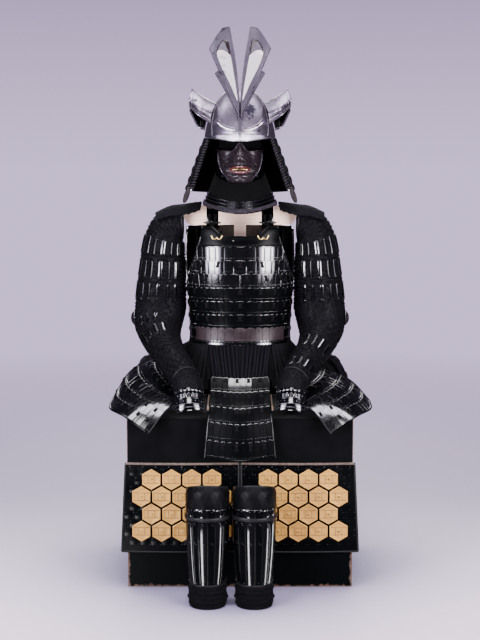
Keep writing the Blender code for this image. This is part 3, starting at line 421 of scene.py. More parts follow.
def lame(m, patch, v0, v1, scales, head=0.004, proud=0.0026, low=0.0012, swell=0.0004, slot=0, u0=0.0, u1=1.0,
         warp=None, edge=None):
    """One row of overlapping scales with rounded heads along its upper edge, from v0 down to v1."""
    phase = np.array([0.0, 0.03, 0.06, 0.32, 0.68, 0.94, 0.97])
    thick = 0.0014
    p = np.concatenate([np.tile(phase, scales), [0.0]])
    u = (np.concatenate([np.repeat(np.arange(scales), len(phase)), [scales]]) + p) / scales
    u = u0 + (u1 - u0) * u
    curve = np.abs(2 * p - 1) ** 2.5
    f = np.array([0.0, 0.025, 0.05, 0.3, 0.65, 1.0])[:, None]
    v = v0 + (v1 - v0) * f + curve * head / patch.height * (1 - f) ** 6
    groove = np.where(p == 0.0, 1.0, 0.0)
    out = low + (proud - low) * (1 - f) ** 0.8 + swell * (1 - np.abs(2 * p - 1) ** 4) - 0.0009 * groove
    out = out - 0.0008 * (f == 0.0)
    if warp:
        u = warp(v, u + 0 * v)
    first = len(m.slots)
    m.shell(patch.at(v, u, out), patch.at(v, u, out - thick), slot)
    if edge is not None:  # the bevel along the heads has a duller finish
        bevel = 2 * len(phase) * scales
        m.slots[first : first + bevel] = [edge] * bevel


def beads(m, patch, v, spacing, radius, height, slot, u0=0.01, u1=0.99, out=0.0):
    """A dotted line of small domes along a height of a patch."""
    count = max(2, int(patch.width * (u1 - u0) / spacing))
    u = np.linspace(u0, u1, count)
    p, down, side, n = patch.frames(np.full(count, v), u)
    m.studs(p + n * out, side, -down, n, radius, height, slot)


def cord_on(m, patch, v, u, out, width, slot, flat=0.45, sides=6):
    """A flat braid that runs over a patch through points given by v and u."""
    v, u = np.asarray(v, float), np.asarray(u, float)
    p, _, _, n = patch.frames(v, u)
    m.tube(p + n * np.asarray(out, float).reshape(-1, 1), width / 2, slot, sides, n, flat)


def knots(m, patch, v_edge, places, out, slot, reach=0.017):
    """Crossed pairs of braids over the heads of a lame."""
    drop, spread_x, width = 0.0045, 0.0036, 0.0052
    s = np.linspace(0, 1, 4)
    lift = 0.0017 * np.sin(np.pi * s)
    for u in places:
        v = v_edge + (drop + reach * s) / patch.height
        for sign, more in ((-1, 0.0), (1, 0.0014)):
            cross = sign * spread_x * (1 - 2 * s) / patch.width
            cord_on(m, patch, v, u + cross, out + lift + more * np.sin(np.pi * s), width, slot)


# Materials

class Nodes:
    """A short way to write a material's nodes."""

    def __init__(self, name):
        self.material = bpy.data.materials.new(name)
        self.material.use_nodes = True
        self.tree = self.material.node_tree
        self.shader = self.tree.nodes["Principled BSDF"]
        self.place = self.new("ShaderNodeTexCoord").outputs["Object"]

    def new(self, kind, settings=(), **inputs):
        made = self.tree.nodes.new(kind)
        for key, value in dict(settings).items():
            setattr(made, key, value)
        for key, value in inputs.items():
            numbered = key[0] == "i" and key[1:].isdigit()
            self.put(made.inputs[int(key[1:]) if numbered else key], value)
        return made

    def put(self, socket, value):
        if isinstance(value, bpy.types.NodeSocket):
            self.tree.links.new(value, socket)
        elif isinstance(value, tuple) and len(value) == 3 and socket.type == "RGBA":
            socket.default_value = (*value, 1.0)
        else:
            socket.default_value = value

    def noise(self, scale, detail=3.0, rough=0.55, place=None):
        inputs = {"Vector": place or self.place, "Scale": scale, "Detail": detail, "Roughness": rough}
        return self.new("ShaderNodeTexNoise", **inputs).outputs["Fac"]

    def wave(self, direction, scale, distortion, place=None, **more):
        inputs = {"Vector": place or self.place, "Scale": scale, "Distortion": distortion, **more}
        return self.new("ShaderNodeTexWave", {"bands_direction": direction}, **inputs).outputs["Fac"]

    def split(self):
        return self.new("ShaderNodeSeparateXYZ", Vector=self.place).outputs

    def stretched(self, x, y, z):
        return self.new("ShaderNodeMapping", Vector=self.place, Scale=(x, y, z)).outputs["Vector"]

    def math(self, kind, a, b=0.0):
        return self.new("ShaderNodeMath", {"operation": kind}, i0=a, i1=b).outputs[0]

    def band(self, value, low, high, to_low=0.0, to_high=1.0):
        """The stretch from low to high spread over to_low to to_high, and clamped."""
        return self.new("ShaderNodeMapRange", i0=value, i1=low, i2=high, i3=to_low, i4=to_high).outputs[0]

    def mix(self, share, a, b):
        made = self.new("ShaderNodeMix", {"data_type": "RGBA"})
        self.put(made.inputs[0], share)
        self.put(made.inputs[6], a)
        self.put(made.inputs[7], b)
        return made.outputs[2]

    def bump(self, height, strength, distance=0.001, onto=None):
        made = self.new("ShaderNodeBump", Height=height, Strength=strength, Distance=distance)
        if onto is not None:
            self.put(made.inputs["Normal"], onto)
        return made.outputs["Normal"]

    def finish(self, colour, rough, metal=0.0, normal=None, specular=0.5, coat=0.0, sheen=0.0):
        values = {"Base Color": colour, "Roughness": rough, "Metallic": metal, "Specular IOR Level": specular}
        if coat:
            values.update({"Coat Weight": coat, "Coat Roughness": 0.06})
        if sheen:
            values.update({"Sheen Weight": sheen, "Sheen Roughness": 0.4})
        if normal is not None:
            values["Normal"] = normal
        for name, value in values.items():
            self.put(self.shader.inputs[name], value)
        return self.material


def lacquer(name, colour=(0.0008, 0.0011, 0.0013), worn=(0.010, 0.006, 0.0045), rough=0.12, specular=0.8,
            wear=0.66, coat=0.5):
    """Old lacquer: nearly black, thinly scratched, dusty in patches and rubbed brown in a few spots."""
    n = Nodes(name)
    rubbed = n.band(n.noise(38, 6, 0.7), wear, wear + 0.12)
    dust = n.band(n.noise(9, 4), 0.35, 0.75)
    fine = n.noise(420, 2)
    base = n.mix(n.math("MULTIPLY", dust, 0.35), colour, tuple(c * 1.5 + 0.0006 for c in colour))
    base = n.mix(rubbed, base, worn)
    ripple = n.bump(n.noise(75, 2), 0.05, 0.0010)
    normal = n.bump(fine, 0.03, 0.0003, ripple)
    roughness = n.math("ADD", n.band(dust, 0.0, 1.0, rough - 0.04, rough + 0.08),
        n.math("MULTIPLY", rubbed, 0.10))
    return n.finish(base, roughness, 0.0, normal, specular, coat)


def braid(name, colour, light):
    """Flat silk braid with its slanting strands."""
    n = Nodes(name)
    scale = 340.0
    left = n.wave("DIAGONAL", scale / 3, 0.6)
    right = n.wave("DIAGONAL", scale / 3, 0.6, n.stretched(-1, 1, 1))
    weave = n.math("MAXIMUM", left, right)
    fade = n.band(n.noise(60, 4), 0.3, 0.7)
    base = n.mix(n.math("MULTIPLY", weave, n.band(fade, 0, 1, 0.3, 0.8)), colour, light)
    return n.finish(base, 0.7, 0.0, n.bump(weave, 0.5, 0.0006), 0.06, 0.0, 0.02)


def cloth(name, colour, light):
    """Plain-woven cloth: threads both ways, with faded patches."""
    n = Nodes(name)
    scale = 900.0
    weave = n.math("MULTIPLY", n.wave("X", scale / 6, 0.4), n.wave("Z", scale / 6, 0.4))
    fade = n.band(n.noise(14, 5, 0.6), 0.3, 0.75)
    base = n.mix(n.math("MULTIPLY", n.math("ADD", weave, 0.25), fade), colour, light)
    normal = n.bump(weave, 0.35, 0.0005, n.bump(n.noise(45, 3), 0.3, 0.002))
    return n.finish(base, 0.88, 0.0, normal, 0.05, 0.0, 0.02)


def metal(name, colour, tarnish, spots, rough, scale, amount, hammered, metallic=1.0, specular=0.5, places=(),
          shine=None):
    """Silvered iron: clouded tarnish, dark spots and a faintly hammered face."""
    n = Nodes(name)
    cloud = n.band(n.noise(scale, 6, 0.65), amount - 0.2, amount + 0.2)
    grain = n.noise(scale * 2.6, 7, 0.68)
    for place, reach in places:  # where the dark spots gather
        near = n.new("ShaderNodeVectorMath", {"operation": "DISTANCE"}, i0=n.place, i1=place).outputs["Value"]
        grain = n.math("ADD", grain, n.band(near, 0.0, reach, 0.085, 0.0))
    spot = n.band(grain, 0.585, 0.64)
    base = n.mix(cloud, colour, tarnish)
    base = n.mix(n.math("MULTIPLY", spot, 0.85), base, spots)
    if shine:  # a painted highlight: the silver is painted lighter below this height, fading towards the sides
        x, _, z = n.split()
        painted_highlight_mask = n.math("MULTIPLY", n.band(z, *shine[:2]), n.band(n.math("ABSOLUTE", x), *shine[2:]))
        base = n.mix(painted_highlight_mask, base, (0.50, 0.47, 0.53))
    roughness = n.math("ADD", n.band(cloud, 0, 1, rough, rough + 0.16), n.math("MULTIPLY", spot, 0.2))
    face = n.bump(n.noise(110, 2), hammered, 0.0015)
    normal = n.bump(n.noise(700, 2), 0.08, 0.0003, face)
    return n.finish(base, roughness, metallic, normal, specular)


def gold_lacquer(name):
    """Gold leaf under lacquer: warm, cloudy, with dark specks and fine cracks."""
    n = Nodes(name)
    cloud = n.band(n.noise(16, 6, 0.65), 0.3, 0.72)
    speck = n.band(n.noise(230, 4, 0.7), 0.62, 0.72)
    crack = n.new("ShaderNodeTexVoronoi", {"feature": "DISTANCE_TO_EDGE"}, Vector=n.place,
        Scale=70.0).outputs["Distance"]
    line = n.band(crack, 0.0, 0.035, 0.35, 0.0)
    base = n.mix(cloud, (0.55, 0.295, 0.058), (0.37, 0.185, 0.034))
    base = n.mix(n.math("MULTIPLY", speck, 0.7), base, (0.14, 0.055, 0.014))
    base = n.mix(line, base, (0.26, 0.11, 0.03))
    return n.finish(base, n.band(cloud, 0, 1, 0.42, 0.6), 0.25, n.bump(n.noise(160, 3), 0.15, 0.0008), 0.4)


def wood(name, light, dark):
    """Planed wood with grain along its length."""
    n = Nodes(name)
    grain = n.wave("Z", 9.0, 5.0, n.stretched(0.25, 1.0, 3.2), Detail=3.0, i4=0.7)
    pore = n.noise(1.0, 4, 0.6, n.stretched(30, 90, 420))
    base = n.mix(grain, light, dark)
    base = n.mix(n.band(pore, 0.55, 0.8, 0.0, 0.5), base, tuple(c * 0.6 for c in dark))
    return n.finish(base, n.band(pore, 0, 1, 0.45, 0.65), 0.0, n.bump(pore, 0.12, 0.0006), 0.4)


def chest_lacquer(name, half_x, half_y, height, seam):
    """Chest lacquer, worn through to brown along its edges."""
    n = Nodes(name)
    x, y, z = n.split()
    to_x = n.math("SUBTRACT", half_x, n.math("ABSOLUTE", x))
    to_y = n.math("SUBTRACT", half_y, n.math("ABSOLUTE", y))
    to_top = n.math("SUBTRACT", height, z)
    low = n.math("MINIMUM", z, n.math("ABSOLUTE", n.math("SUBTRACT", z, seam)))
    high = n.math("MINIMUM", to_top, low)
    pair_a = n.math("ADD", to_x, to_y)
    pair_b = n.math("ADD", n.math("MINIMUM", to_x, to_y), high)
    edge = n.math("MINIMUM", pair_a, pair_b)
    ragged = n.math("ADD", edge, n.band(n.noise(55, 6, 0.7), 0.3, 0.75, -0.008, 0.008))
    worn = n.band(ragged, 0.0015, 0.0055, 1.0, 0.0)
    scuff = n.band(n.noise(26, 7, 0.75), 0.66, 0.74)
    base = n.mix(n.math("MULTIPLY", scuff, 0.5), (0.0010, 0.0016, 0.0017), (0.0085, 0.0065, 0.0055))
    base = n.mix(worn, base, (0.085, 0.050, 0.034))
    normal = n.bump(n.noise(60, 4), 0.12, 0.0015)
    return n.finish(base, n.band(worn, 0, 1, 0.24, 0.75), 0.0, normal, 0.14)


def leather(name, colour, light, scale=55.0, rough=0.5, specular=0.35):
    """Dyed leather: grain, creases and rubbed spots."""
    n = Nodes(name)
    cell = n.new("ShaderNodeTexVoronoi", Vector=n.place, Scale=scale * 9).outputs["Distance"]
    patch = n.band(n.noise(scale, 6, 0.7), 0.35, 0.7)
    base = n.mix(patch, colour, light)
    return n.finish(base, n.band(patch, 0, 1, rough - 0.08, rough + 0.1), 0.0, n.bump(cell, 0.25, 0.0005),
        specular)


LACQUER = lacquer("black_lacquer")
SATIN = lacquer("satin_lacquer", rough=0.24, specular=0.3, coat=0.0)
BAND_LEATHER = leather("red_brown_leather", (0.0120, 0.0070, 0.0080), (0.028, 0.0175, 0.0205), 40, 0.36)
LIP_RED = lacquer("lip_red", (0.085, 0.022, 0.022), (0.03, 0.008, 0.008), 0.3)
BRAID = braid("black_braid", (0.0012, 0.0010, 0.0014), (0.0055, 0.0048, 0.0065))
PURPLE = braid("purple_braid", (0.0012, 0.0009, 0.0018), (0.0042, 0.0030, 0.0060))
COMB = braid("purple_comb", (0.010, 0.008, 0.012), (0.060, 0.050, 0.064))
MAIL_CLOTH = cloth("mail_cloth", (0.0011, 0.0012, 0.0016), (0.0045, 0.0045, 0.0060))
BLACK_CLOTH = cloth("black_cloth", (0.0011, 0.0013, 0.0016), (0.0040, 0.0044, 0.0050))
SILVER = metal("silvered_iron", (0.27, 0.235, 0.295), (0.11, 0.095, 0.125), (0.010, 0.009, 0.022), 0.34, 13,
    0.50, 0.05)
BOWL_SPOTS = ((0.045, -0.11, 1.395), 0.055), ((-0.045, -0.11, 1.405), 0.035), ((0.075, -0.10, 1.330), 0.045)
# the visor's painted highlight: where the bowl's silver is painted lighter, as a band
VISOR_PAINTED_HIGHLIGHT = (1.3345, 1.3275, 0.055, 0.024)  # from and to in height, then in distance from the middle
BOWL_SILVER = metal("bowl_silver", (0.27, 0.235, 0.295), (0.10, 0.085, 0.115), (0.008, 0.007, 0.020), 0.34,
    13,
                    0.50, 0.05, places=BOWL_SPOTS, shine=VISOR_PAINTED_HIGHLIGHT)
CREST = metal("crest_silver", (0.080, 0.068, 0.094), (0.046, 0.038, 0.054), (0.020, 0.017, 0.024), 0.42, 14,
    0.5, 0.04, 0.7)
RUSSET = metal("russet_iron", (0.022, 0.014, 0.019), (0.010, 0.0065, 0.0085), (0.004, 0.003, 0.004), 0.20, 22,
    0.5, 0.06, 0.30)
GOLD = gold_lacquer("gold_lacquer")
GILT = metal("gilt_copper", (0.85, 0.60, 0.25), (0.45, 0.28, 0.10), (0.12, 0.06, 0.02), 0.28, 30, 0.5, 0.05)
PALE_WOOD = wood("pale_wood", (0.95, 0.69, 0.54), (0.90, 0.63, 0.46))
CHEST = chest_lacquer("chest_lacquer", 0.33, CHEST_DEPTH / 2, CHEST_HEIGHT, 0.44)
EDGE_LEATHER = leather("edge_leather", (0.045, 0.030, 0.022), (0.125, 0.092, 0.072), 90, 0.6)
STAND_BLACK = cloth("stand_cloth", (0.0010, 0.0010, 0.0012), (0.0025, 0.0025, 0.0030))
DOTS = lacquer("lace_dots", (0.0025, 0.0025, 0.0035), (0.008, 0.008, 0.010), 0.14, 0.9)
MATT = lacquer("matt_lacquer", rough=0.30, specular=0.05, coat=0.0)
DULL = lacquer("dull_lacquer", rough=0.20, specular=0.16, coat=0.0)
STUD = metal("stud_iron", (0.16, 0.15, 0.17), (0.06, 0.055, 0.065), (0.02, 0.02, 0.02), 0.24, 60, 0.5, 0.0)


def give(finish, *nodes):
    for name in nodes:
        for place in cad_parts[name].material_slots:
            place.material = finish


give(CHEST, "chest_body", "chest_lid")
give(PALE_WOOD, "stand_foot", "stand_post", "stand_neck", "stand_shoulder_board")
give(STAND_BLACK, "stand_head")
give(CREST, "crest_prong")
give(LACQUER, "shoulder_strap_left", "shoulder_strap_right")


# Camera, floor and light

CAMERA_PLACE, CAMERA_DOWN, LENS, SENSOR = (0.0, -4.025, 1.22), 6.41, 74.6, 36.0


def build_camera():
    data = bpy.data.cameras.new("camera")
    data.lens, data.sensor_width = LENS, SENSOR
    camera = bpy.data.objects.new("camera", data)
    camera.location = CAMERA_PLACE
    camera.rotation_euler = (math.radians(90 - CAMERA_DOWN), 0.0, 0.0)
    bpy.context.scene.collection.objects.link(camera)
    bpy.context.scene.camera = camera


HORIZON = (0.93, 0.74, 1.15)
ZENITH = (0.46, 0.36, 0.62)


def floor_material():
    """A pale floor, painted darker towards the back and with a painted shadow beside the chest, that fades
    into the surroundings.
    """
    n = Nodes("pale_floor")
    far = n.new("ShaderNodeVectorMath", {"operation": "LENGTH"}, i0=n.place).outputs["Value"]
    near = n.mix(n.noise(1.3, 3), (0.66, 0.565, 0.68), (0.70, 0.605, 0.72))
    # painted shade: the floor's colour darkens and turns bluer towards the back
    base = n.mix(n.band(n.split()[1], -0.45, 0.9), near, (0.40, 0.355, 0.475))
    # painted shadow: the floor is painted darker and bluer where the chest hides it from the light
    painted_shadow_ao = n.new("ShaderNodeAmbientOcclusion", {"samples": 8}, Distance=0.5).outputs["AO"]
    base = n.mix(n.band(painted_shadow_ao, 1.0, 0.55, 0.0, 0.66), base, (0.10, 0.105, 0.25))
    n.finish(base, 0.55, 0.0, n.bump(n.noise(160, 3), 0.03, 0.001), 0.3)
    glow = n.new("ShaderNodeEmission", Color=HORIZON, Strength=1.0)
    seen = n.new("ShaderNodeLightPath").outputs["Is Camera Ray"]
    fade = n.math("MULTIPLY", n.band(far, 1.2, 5.0), seen)
    join = n.new("ShaderNodeMixShader", i0=fade, i1=n.shader.outputs[0], i2=glow.outputs[0])
    n.put(n.tree.nodes["Material Output"].inputs["Surface"], join.outputs[0])
    return n.material


def build_stage():
    """A round floor under the chest and the shin guards."""
    sides = 64
    m = Maker()
    turns = 2 * np.pi * np.arange(sides) / sides
    rings = (0.6, 1.2, 2.0, 3.0, 4.5, 7.0, 12.0, 30.0)
    points = np.array([[[r * math.cos(a), r * math.sin(a), 0.0] for a in turns] for r in rings])
    m.grid(points, around=True)
    middle = np.array([[k, (k + 1) % sides, sides] for k in range(sides)])
    m.add(np.concatenate([points[0], [[0, 0, 0]]]), [middle])
    mesh = bpy.data.meshes.new("floor")
    mesh.from_pydata(np.concatenate(m.points).tolist(), [], m.faces)
    mesh.materials.append(floor_material())
    floor = bpy.data.objects.new("floor", mesh)
    bpy.context.scene.collection.objects.link(floor)
    floor.location.z = CAD_BOX[0][2] - 0.0002
    floor.visible_glossy = False  # only the light cards show in the lacquer
    floor.visible_shadow = False


REFLECTED = 0.075  # how bright the surroundings are for anything but the camera


def build_world():
    """Pale surroundings, dim in reflections so that only the soft boxes shine in the lacquer."""
    world = bpy.data.worlds.new("studio")
    world.use_nodes = True
    bpy.context.scene.world = world
    tree = world.node_tree
    back = tree.nodes["Background"]
    place = tree.nodes.new("ShaderNodeTexCoord")
    split = tree.nodes.new("ShaderNodeSeparateXYZ")
    tree.links.new(place.outputs["Generated"], split.inputs[0])
    ramp = tree.nodes.new("ShaderNodeValToRGB")
    ramp.color_ramp.elements[0].color = (*HORIZON, 1.0)
    ramp.color_ramp.elements[0].position = 0.0
    ramp.color_ramp.elements[1].color = (*ZENITH, 1.0)
    ramp.color_ramp.elements[1].position = 0.16
    tree.links.new(split.outputs[2], ramp.inputs[0])
    tree.links.new(ramp.outputs[0], back.inputs["Color"])
    ray = tree.nodes.new("ShaderNodeLightPath")
    dim = tree.nodes.new("ShaderNodeMapRange")
    dim.inputs["To Min"].default_value = REFLECTED
    dim.inputs["To Max"].default_value = 1.0
    tree.links.new(ray.outputs["Is Camera Ray"], dim.inputs[0])
    tree.links.new(dim.outputs[0], back.inputs["Strength"])


def soft_box(name, azimuth, distance, height, size, power, aim=(0, 0, 0.8), colour=(1, 1, 1),
        gloss_only=False):
    """An area light at an azimuth from the camera's side, 0 in front of the armour, 90 at +X."""
    a = math.radians(azimuth)
    data = bpy.data.lights.new(name, "AREA")
    data.shape, data.size, data.size_y = "RECTANGLE", size[0], size[1]
    data.energy, data.color = power, colour
    lamp = bpy.data.objects.new(name, data)
    lamp.location = (distance * math.sin(a), -distance * math.cos(a), height)
    lamp.rotation_euler = (Vector(aim) - lamp.location).to_track_quat("-Z", "Y").to_euler()
    lamp.visible_diffuse = not gloss_only
    bpy.context.scene.collection.objects.link(lamp)


build_camera()
build_stage()
build_world()
CARD_WHITE = (0.98, 0.96, 1.0)
soft_box("box_left", -38, 3.2, 1.35, (1.8, 2.0), 95, (0, 0, 1.1), (0.80, 0.78, 1.0))
soft_box("core_left", -38, 3.15, 0.92, (1.0, 1.0), 105, (0, 0, 0.9), CARD_WHITE)
soft_box("box_right", 38, 3.2, 1.35, (1.8, 2.0), 88, (0, 0, 1.1), (0.88, 0.80, 0.98))
soft_box("core_right", 38, 3.15, 0.92, (1.0, 1.0), 100, (0, 0, 0.9), (1.0, 0.95, 0.96))
for turn, width, power in ((-82, 0.26, 9), (-24, 0.30, 12), (64, 0.2, 7), (108, 0.2, 6)):
    # seen in the shin guards alone
    soft_box("card_" + str(turn), turn, 2.3, -0.75, (width, 0.7), power, (0, -0.3, 0.0), CARD_WHITE, True)
for sign in (-1, 1):  # seen in the front corners of the thigh plates alone
    aim = (sign * 0.25, -0.24, 0.52)
    soft_box("card_high_" + str(sign), sign * 96, 1.4, 2.85, (0.6, 0.8), 24, aim, (0.90, 0.88, 1.0), True)
soft_box("box_front", 0, 3.3, 3.4, (1.2, 0.8), 60, (0, 0, 0.6), (1.0, 0.96, 1.0))
soft_box("box_top", 0, 0.3, 4.0, (2.4, 2.4), 240, (0, 0.2, 0.5), (1.0, 0.96, 1.0))
soft_box("box_back", 180, 3.4, 3.0, (2.5, 1.6), 120, (0, 0, 0.6), (0.97, 0.95, 1.0))


# Cuirass

LAME_LAP, BEAD_DROP = 0.0035, 0.0062  # how far a lame runs under the next, and its dots above its edge


def neckline(share):
    """Height of the breast plate's upper edge, low in the middle."""
    rise = smooth((abs(share) - 0.25) / 0.45, 0.0, 1.0)
    return NECKLINE_LOW + (NECKLINE_HIGH - NECKLINE_LOW) * rise


def front_line(height, columns=33):
    """Points across the front between the armholes, at a height or a height for each share."""
    line = []
    for share in spread(columns):
        z = height(share) if callable(height) else height
        line.append(trunk(share * lookup(ARMHOLE, z), z))
    return line


def armhole_reach(v):
    """Degrees from the middle of the front to the armhole at a share of the cuirass's height."""
    shares = np.linspace(0, 1, 41)
    table = [lookup(ARMHOLE, LAMES_TOP + (CUIRASS_BOTTOM - LAMES_TOP) * s) for s in shares]
    return np.interp(v, shares, table)


def front_rows(m, patch, edges):
    """The front's lames: scales of one width whose seams run straight down, cut off by the armholes."""
    for k in range(len(edges) - 1):
        low = edges[k + 1]
        reach = float(armhole_reach(low))
        scales = max(2, int(round(2 * reach / 8.9)))

        def warp(v, u):
            return np.clip(0.5 + (u - 0.5) * reach / armhole_reach(v), 0.0, 1.0)

        shape = {"slot": 0, "low": 0.0008, "proud": 0.0026} if k < 3 else {"slot": 5, "low": 0.0,
            "proud": 0.0042}
        lame(m, patch, edges[k], low + LAME_LAP / patch.height, scales, edge=0, warp=warp, **shape)
        beads(m, patch, low - BEAD_DROP / patch.height, 0.0052, 0.0013, 0.0009, 2, out=0.0016)
        if k:
            shift = reach / armhole_reach(edges[k])
            places = [0.5 + ((i + 0.5) / scales - 0.5) * shift for i in range(scales % 4 // 2, scales, 2)]
            knots(m, patch, edges[k], [u for u in places if 0.03 < u < 0.97], 0.0026, 1)


def back_rows(m, patch, edges, scales=21):
    """The back's lames, each with its dotted lower line and crossed braids."""
    for k in range(len(edges) - 1):
        lap = 0.0 if k == len(edges) - 2 else LAME_LAP / patch.height
        lame(m, patch, edges[k], min(edges[k + 1] + lap, 1.0), scales)
        beads(m, patch, edges[k + 1] - BEAD_DROP / patch.height, 0.0052, 0.0013, 0.0009, 2, out=0.0016)
        if k:
            knots(m, patch, edges[k], [(i + 0.5) / scales for i in range(0, scales, 2)], 0.0026, 1)


def build_cuirass():
    heights = np.linspace(LAMES_TOP, CUIRASS_BOTTOM, 15)
    span = LAMES_TOP - CUIRASS_BOTTOM
    front = Patch([front_line(z) for z in heights])
    edges = [k * LAME_PITCH / span for k in range(LAMES)]
    m = Maker()
    m.wall(front, 16, 48, BEHIND, -PLATE)
    front_rows(m, front, edges)
    band = [edges[-1], LAMES * LAME_PITCH / span]
    # the red-brown leather band is black lacquer at both ends: painted shade where the band turns away at the
    # sides
    for u0, u1, count, slot in ((0.0, 0.16, 3, 0), (0.16, 0.84, 13, 3), (0.84, 1.0, 3, 0)):
        lame(m, front, band[0], band[1], count, slot=slot, swell=0.0001, u0=u0, u1=u1)
    beads(m, front, band[1] - 0.0052 / front.height, 0.0048, 0.0013, 0.0010, 3, out=0.0022)
    beads(m, front, band[0] + 0.0075 / front.height, 0.0048, 0.0011, 0.0009, 3, out=0.0034)
    m.tube(front.line(band[1] + 0.004 / front.height, (0, 1), 0.0006), 0.0024, 5, 8)
    beads(m, front, band[1] + 0.003 / front.height, 0.0110, 0.0032, 0.0022, 4, 0.15, 0.85, 0.0022)
    for u in (0.0, 1.0):
        m.tube(front.line((0, 1), u, 0.0008, 50), 0.0030, 0, 8)
    m.piece("cuirass_front_lames", [LACQUER, BRAID, DOTS, BAND_LEATHER, SATIN, DULL],
        ["cuirass_front"])

    plain_top = 1.000  # the plain stretch above the back's lames ends here
    heights = np.concatenate([[BACK_TOP, BACK_TOP - 0.006],
        np.linspace(BACK_TOP - 0.012, CUIRASS_BOTTOM, 15)])
    grid = []
    for z in heights:
        reach = BACK_REACH - 12.0 * max(0.0, (z - BACK_TOP + 0.012) / 0.012)
        grid.append([trunk(180 + share * reach, z) for share in spread(33)])
    back = Patch(grid)
    zs = np.array([back.at(v, 0.5)[2] for v in np.linspace(0, 1, 200)])
    edges = [float(np.interp(-z, -zs, np.linspace(0, 1, 200))) for z in
             [plain_top] + [LAMES_TOP - k * LAME_PITCH for k in range(1, LAMES + 1)]]
    m = Maker()
    m.wall(back, 16, 48, BEHIND, -PLATE)
    back_rows(m, back, edges)
    m.wall(back, np.linspace(0, edges[0] + 0.01, 6), 60, 0.0010, -0.0005)
    m.tube(back.line(0.004, (0, 1), -0.0008), 0.0026, 0, 8)
    m.tube(back.line(0.985, (0, 1), 0.001), 0.0028, 0, 8)
    for u in (0.0, 1.0):
        m.tube(back.line((0, 1), u, 0.0008, 50), 0.0026, 0, 8)
    m.piece("cuirass_back_lames", [LACQUER, BRAID, DOTS], ["cuirass_back"])


def build_breast_plate():
    patch = Patch([front_line(lambda s, t=t: neckline(s) * (1 - t) + (LAMES_TOP + 0.0004) * t, 49)
                   for t in (0, 0.25, 0.5, 0.75, 1)])
    m = Maker()
    rows = (0, 0.04, 0.2, 0.45, 0.7, 0.9, 1.0)
    out = np.array([0.0016, 0.0030, 0.0050, 0.0040, 0.0016, 0.0008, 0.0012])[:, None]
    m.wall(patch, rows, 81, out, -PLATE)
    for v, radius, lift, slot in ((0.0, 0.0026, 0.0004, 0), (0.004, 0.0009, 0.0030, 1),
            (0.96, 0.0015, 0.0030, 1)):
        m.tube(patch.line(v, (0, 1), lift, 90), radius, slot, 8)
    glint = 0.0022 * np.sin(np.linspace(0.15, np.pi - 0.15, 20))
    m.tube(patch.line(0.40, (0.435, 0.555), 0.0042, 20), glint, 4, 8)
    for u in (0.004, 0.996):
        m.tube(patch.line((0, 1), u, 0.0006, 20), 0.0028, 1, 8)
    beads(m, patch, 0.86, 0.010, 0.0017, 0.0012, 1, out=0.0016)
    for sign in (-1, 1):  # the gilt, cusped end of each strap's tab
        x0, z0 = sign * 0.0665, 1.0262
        rim, body = [], []
        for t in np.linspace(-1, 1, 41):
            x = x0 + t * 0.0152
            z = z0 - 0.0062 * abs(math.sin(math.pi * t)) ** 0.7 + 0.0045 * abs(t) ** 4
            angle = math.degrees(math.atan2(abs(x), 0.125)) * sign
            for _ in range(12):  # find the trunk angle with this x
                angle += (x - trunk(angle, z).x) / 0.0028
            rim.append(tuple(trunk(angle, z, 0.0042)))
            body.append([tuple(trunk(angle, z + h, 0.0036)) for h in (0.022, 0.014, 0.007, 0.0)])
        m.tube(rim, 0.0019, 2, 8)
        outer = np.array(body).transpose(1, 0, 2)
        m.shell(outer, outer + np.array([0, 0.0030, 0]), 3)
    m.piece("breast_plate", [MATT, SATIN, GILT, BLACK_CLOTH, LACQUER], ["breast_plate_top"])


def spindle(m, middle, half, radius):
    """A turned toggle: pointed ends, a swollen middle and two grooves."""
    t = np.linspace(-1, 1, 25)
    profile = radius * (1 - np.abs(t) ** 1.5) ** 0.8 + 0.0009
    profile -= 0.0010 * np.exp(-((np.abs(t) - 0.22) / 0.035) ** 2)
    m.tube(np.array(middle) + np.array([1, 0, 0]) * (t[:, None] * half), profile, 0, 12)


def build_strap_fittings():
    """A toggle with its loops on each shoulder strap."""
    for side, _ in SIDES:
        low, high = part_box("strap_toggle_" + side)
        centre = [(a + b) / 2 for a, b in zip(low, high)]
        m = Maker()
        spindle(m, centre, 0.0268, 0.0056)
        for dx in (-0.0055, 0.0055):  # paired loops from the strap down round the toggle to the tab
            s = np.linspace(0, 1, 17)
            x = centre[0] + dx + 0.0035 * np.sin(2 * np.pi * s) * np.sign(dx)
            y = centre[1] - 0.0020 + 0.012 * (1 - s) ** 2 - 0.0066 * np.exp(-((s - 0.55) / 0.16) ** 2)
            z = centre[2] + 0.021 - 0.040 * s
            m.tube(np.stack([x, y + 0.003 * s, z], -1), 0.0026, 1, 8)
        s = np.linspace(0, 1, 21)
        for k in (-1, 1):
            loop = np.stack([centre[0] + k * (0.006 + 0.006 * np.sin(np.pi * s)),
                             centre[1] + 0.001 - 0.005 * np.sin(np.pi * s),
                             centre[2] + 0.010 + 0.014 * s], -1)
            m.tube(loop, 0.0022, 1, 8)
        m.tube([[centre[0] - 0.009, centre[1] - 0.0070, centre[2] + 0.002],
            [centre[0], centre[1] - 0.0086, centre[2]],
                [centre[0] + 0.009, centre[1] - 0.0070, centre[2] + 0.002]], 0.0023, 1, 8)
        m.piece("strap_toggle_and_loops_" + side, [SATIN, BRAID], ["strap_toggle_" + side])


build_cuirass()
build_breast_plate()
build_strap_fittings()


# Helmet

def visor_share(degrees):
    """How much the rim flares here, 1 in the middle of the visor and 0 beyond its corners."""
    return math.cos(math.radians(degrees * 90.0 / VISOR_REACH)) ** 1.5 if abs(degrees) < VISOR_REACH else 0.0


def bowl_rim(degrees):
    share = visor_share(degrees)
    p = bowl(degrees, BOWL[0].z)
    return p + Vector((p.x * 0.05, -VISOR_FLARE, 0)) * share - Vector((0, 0, VISOR_DROP * share))


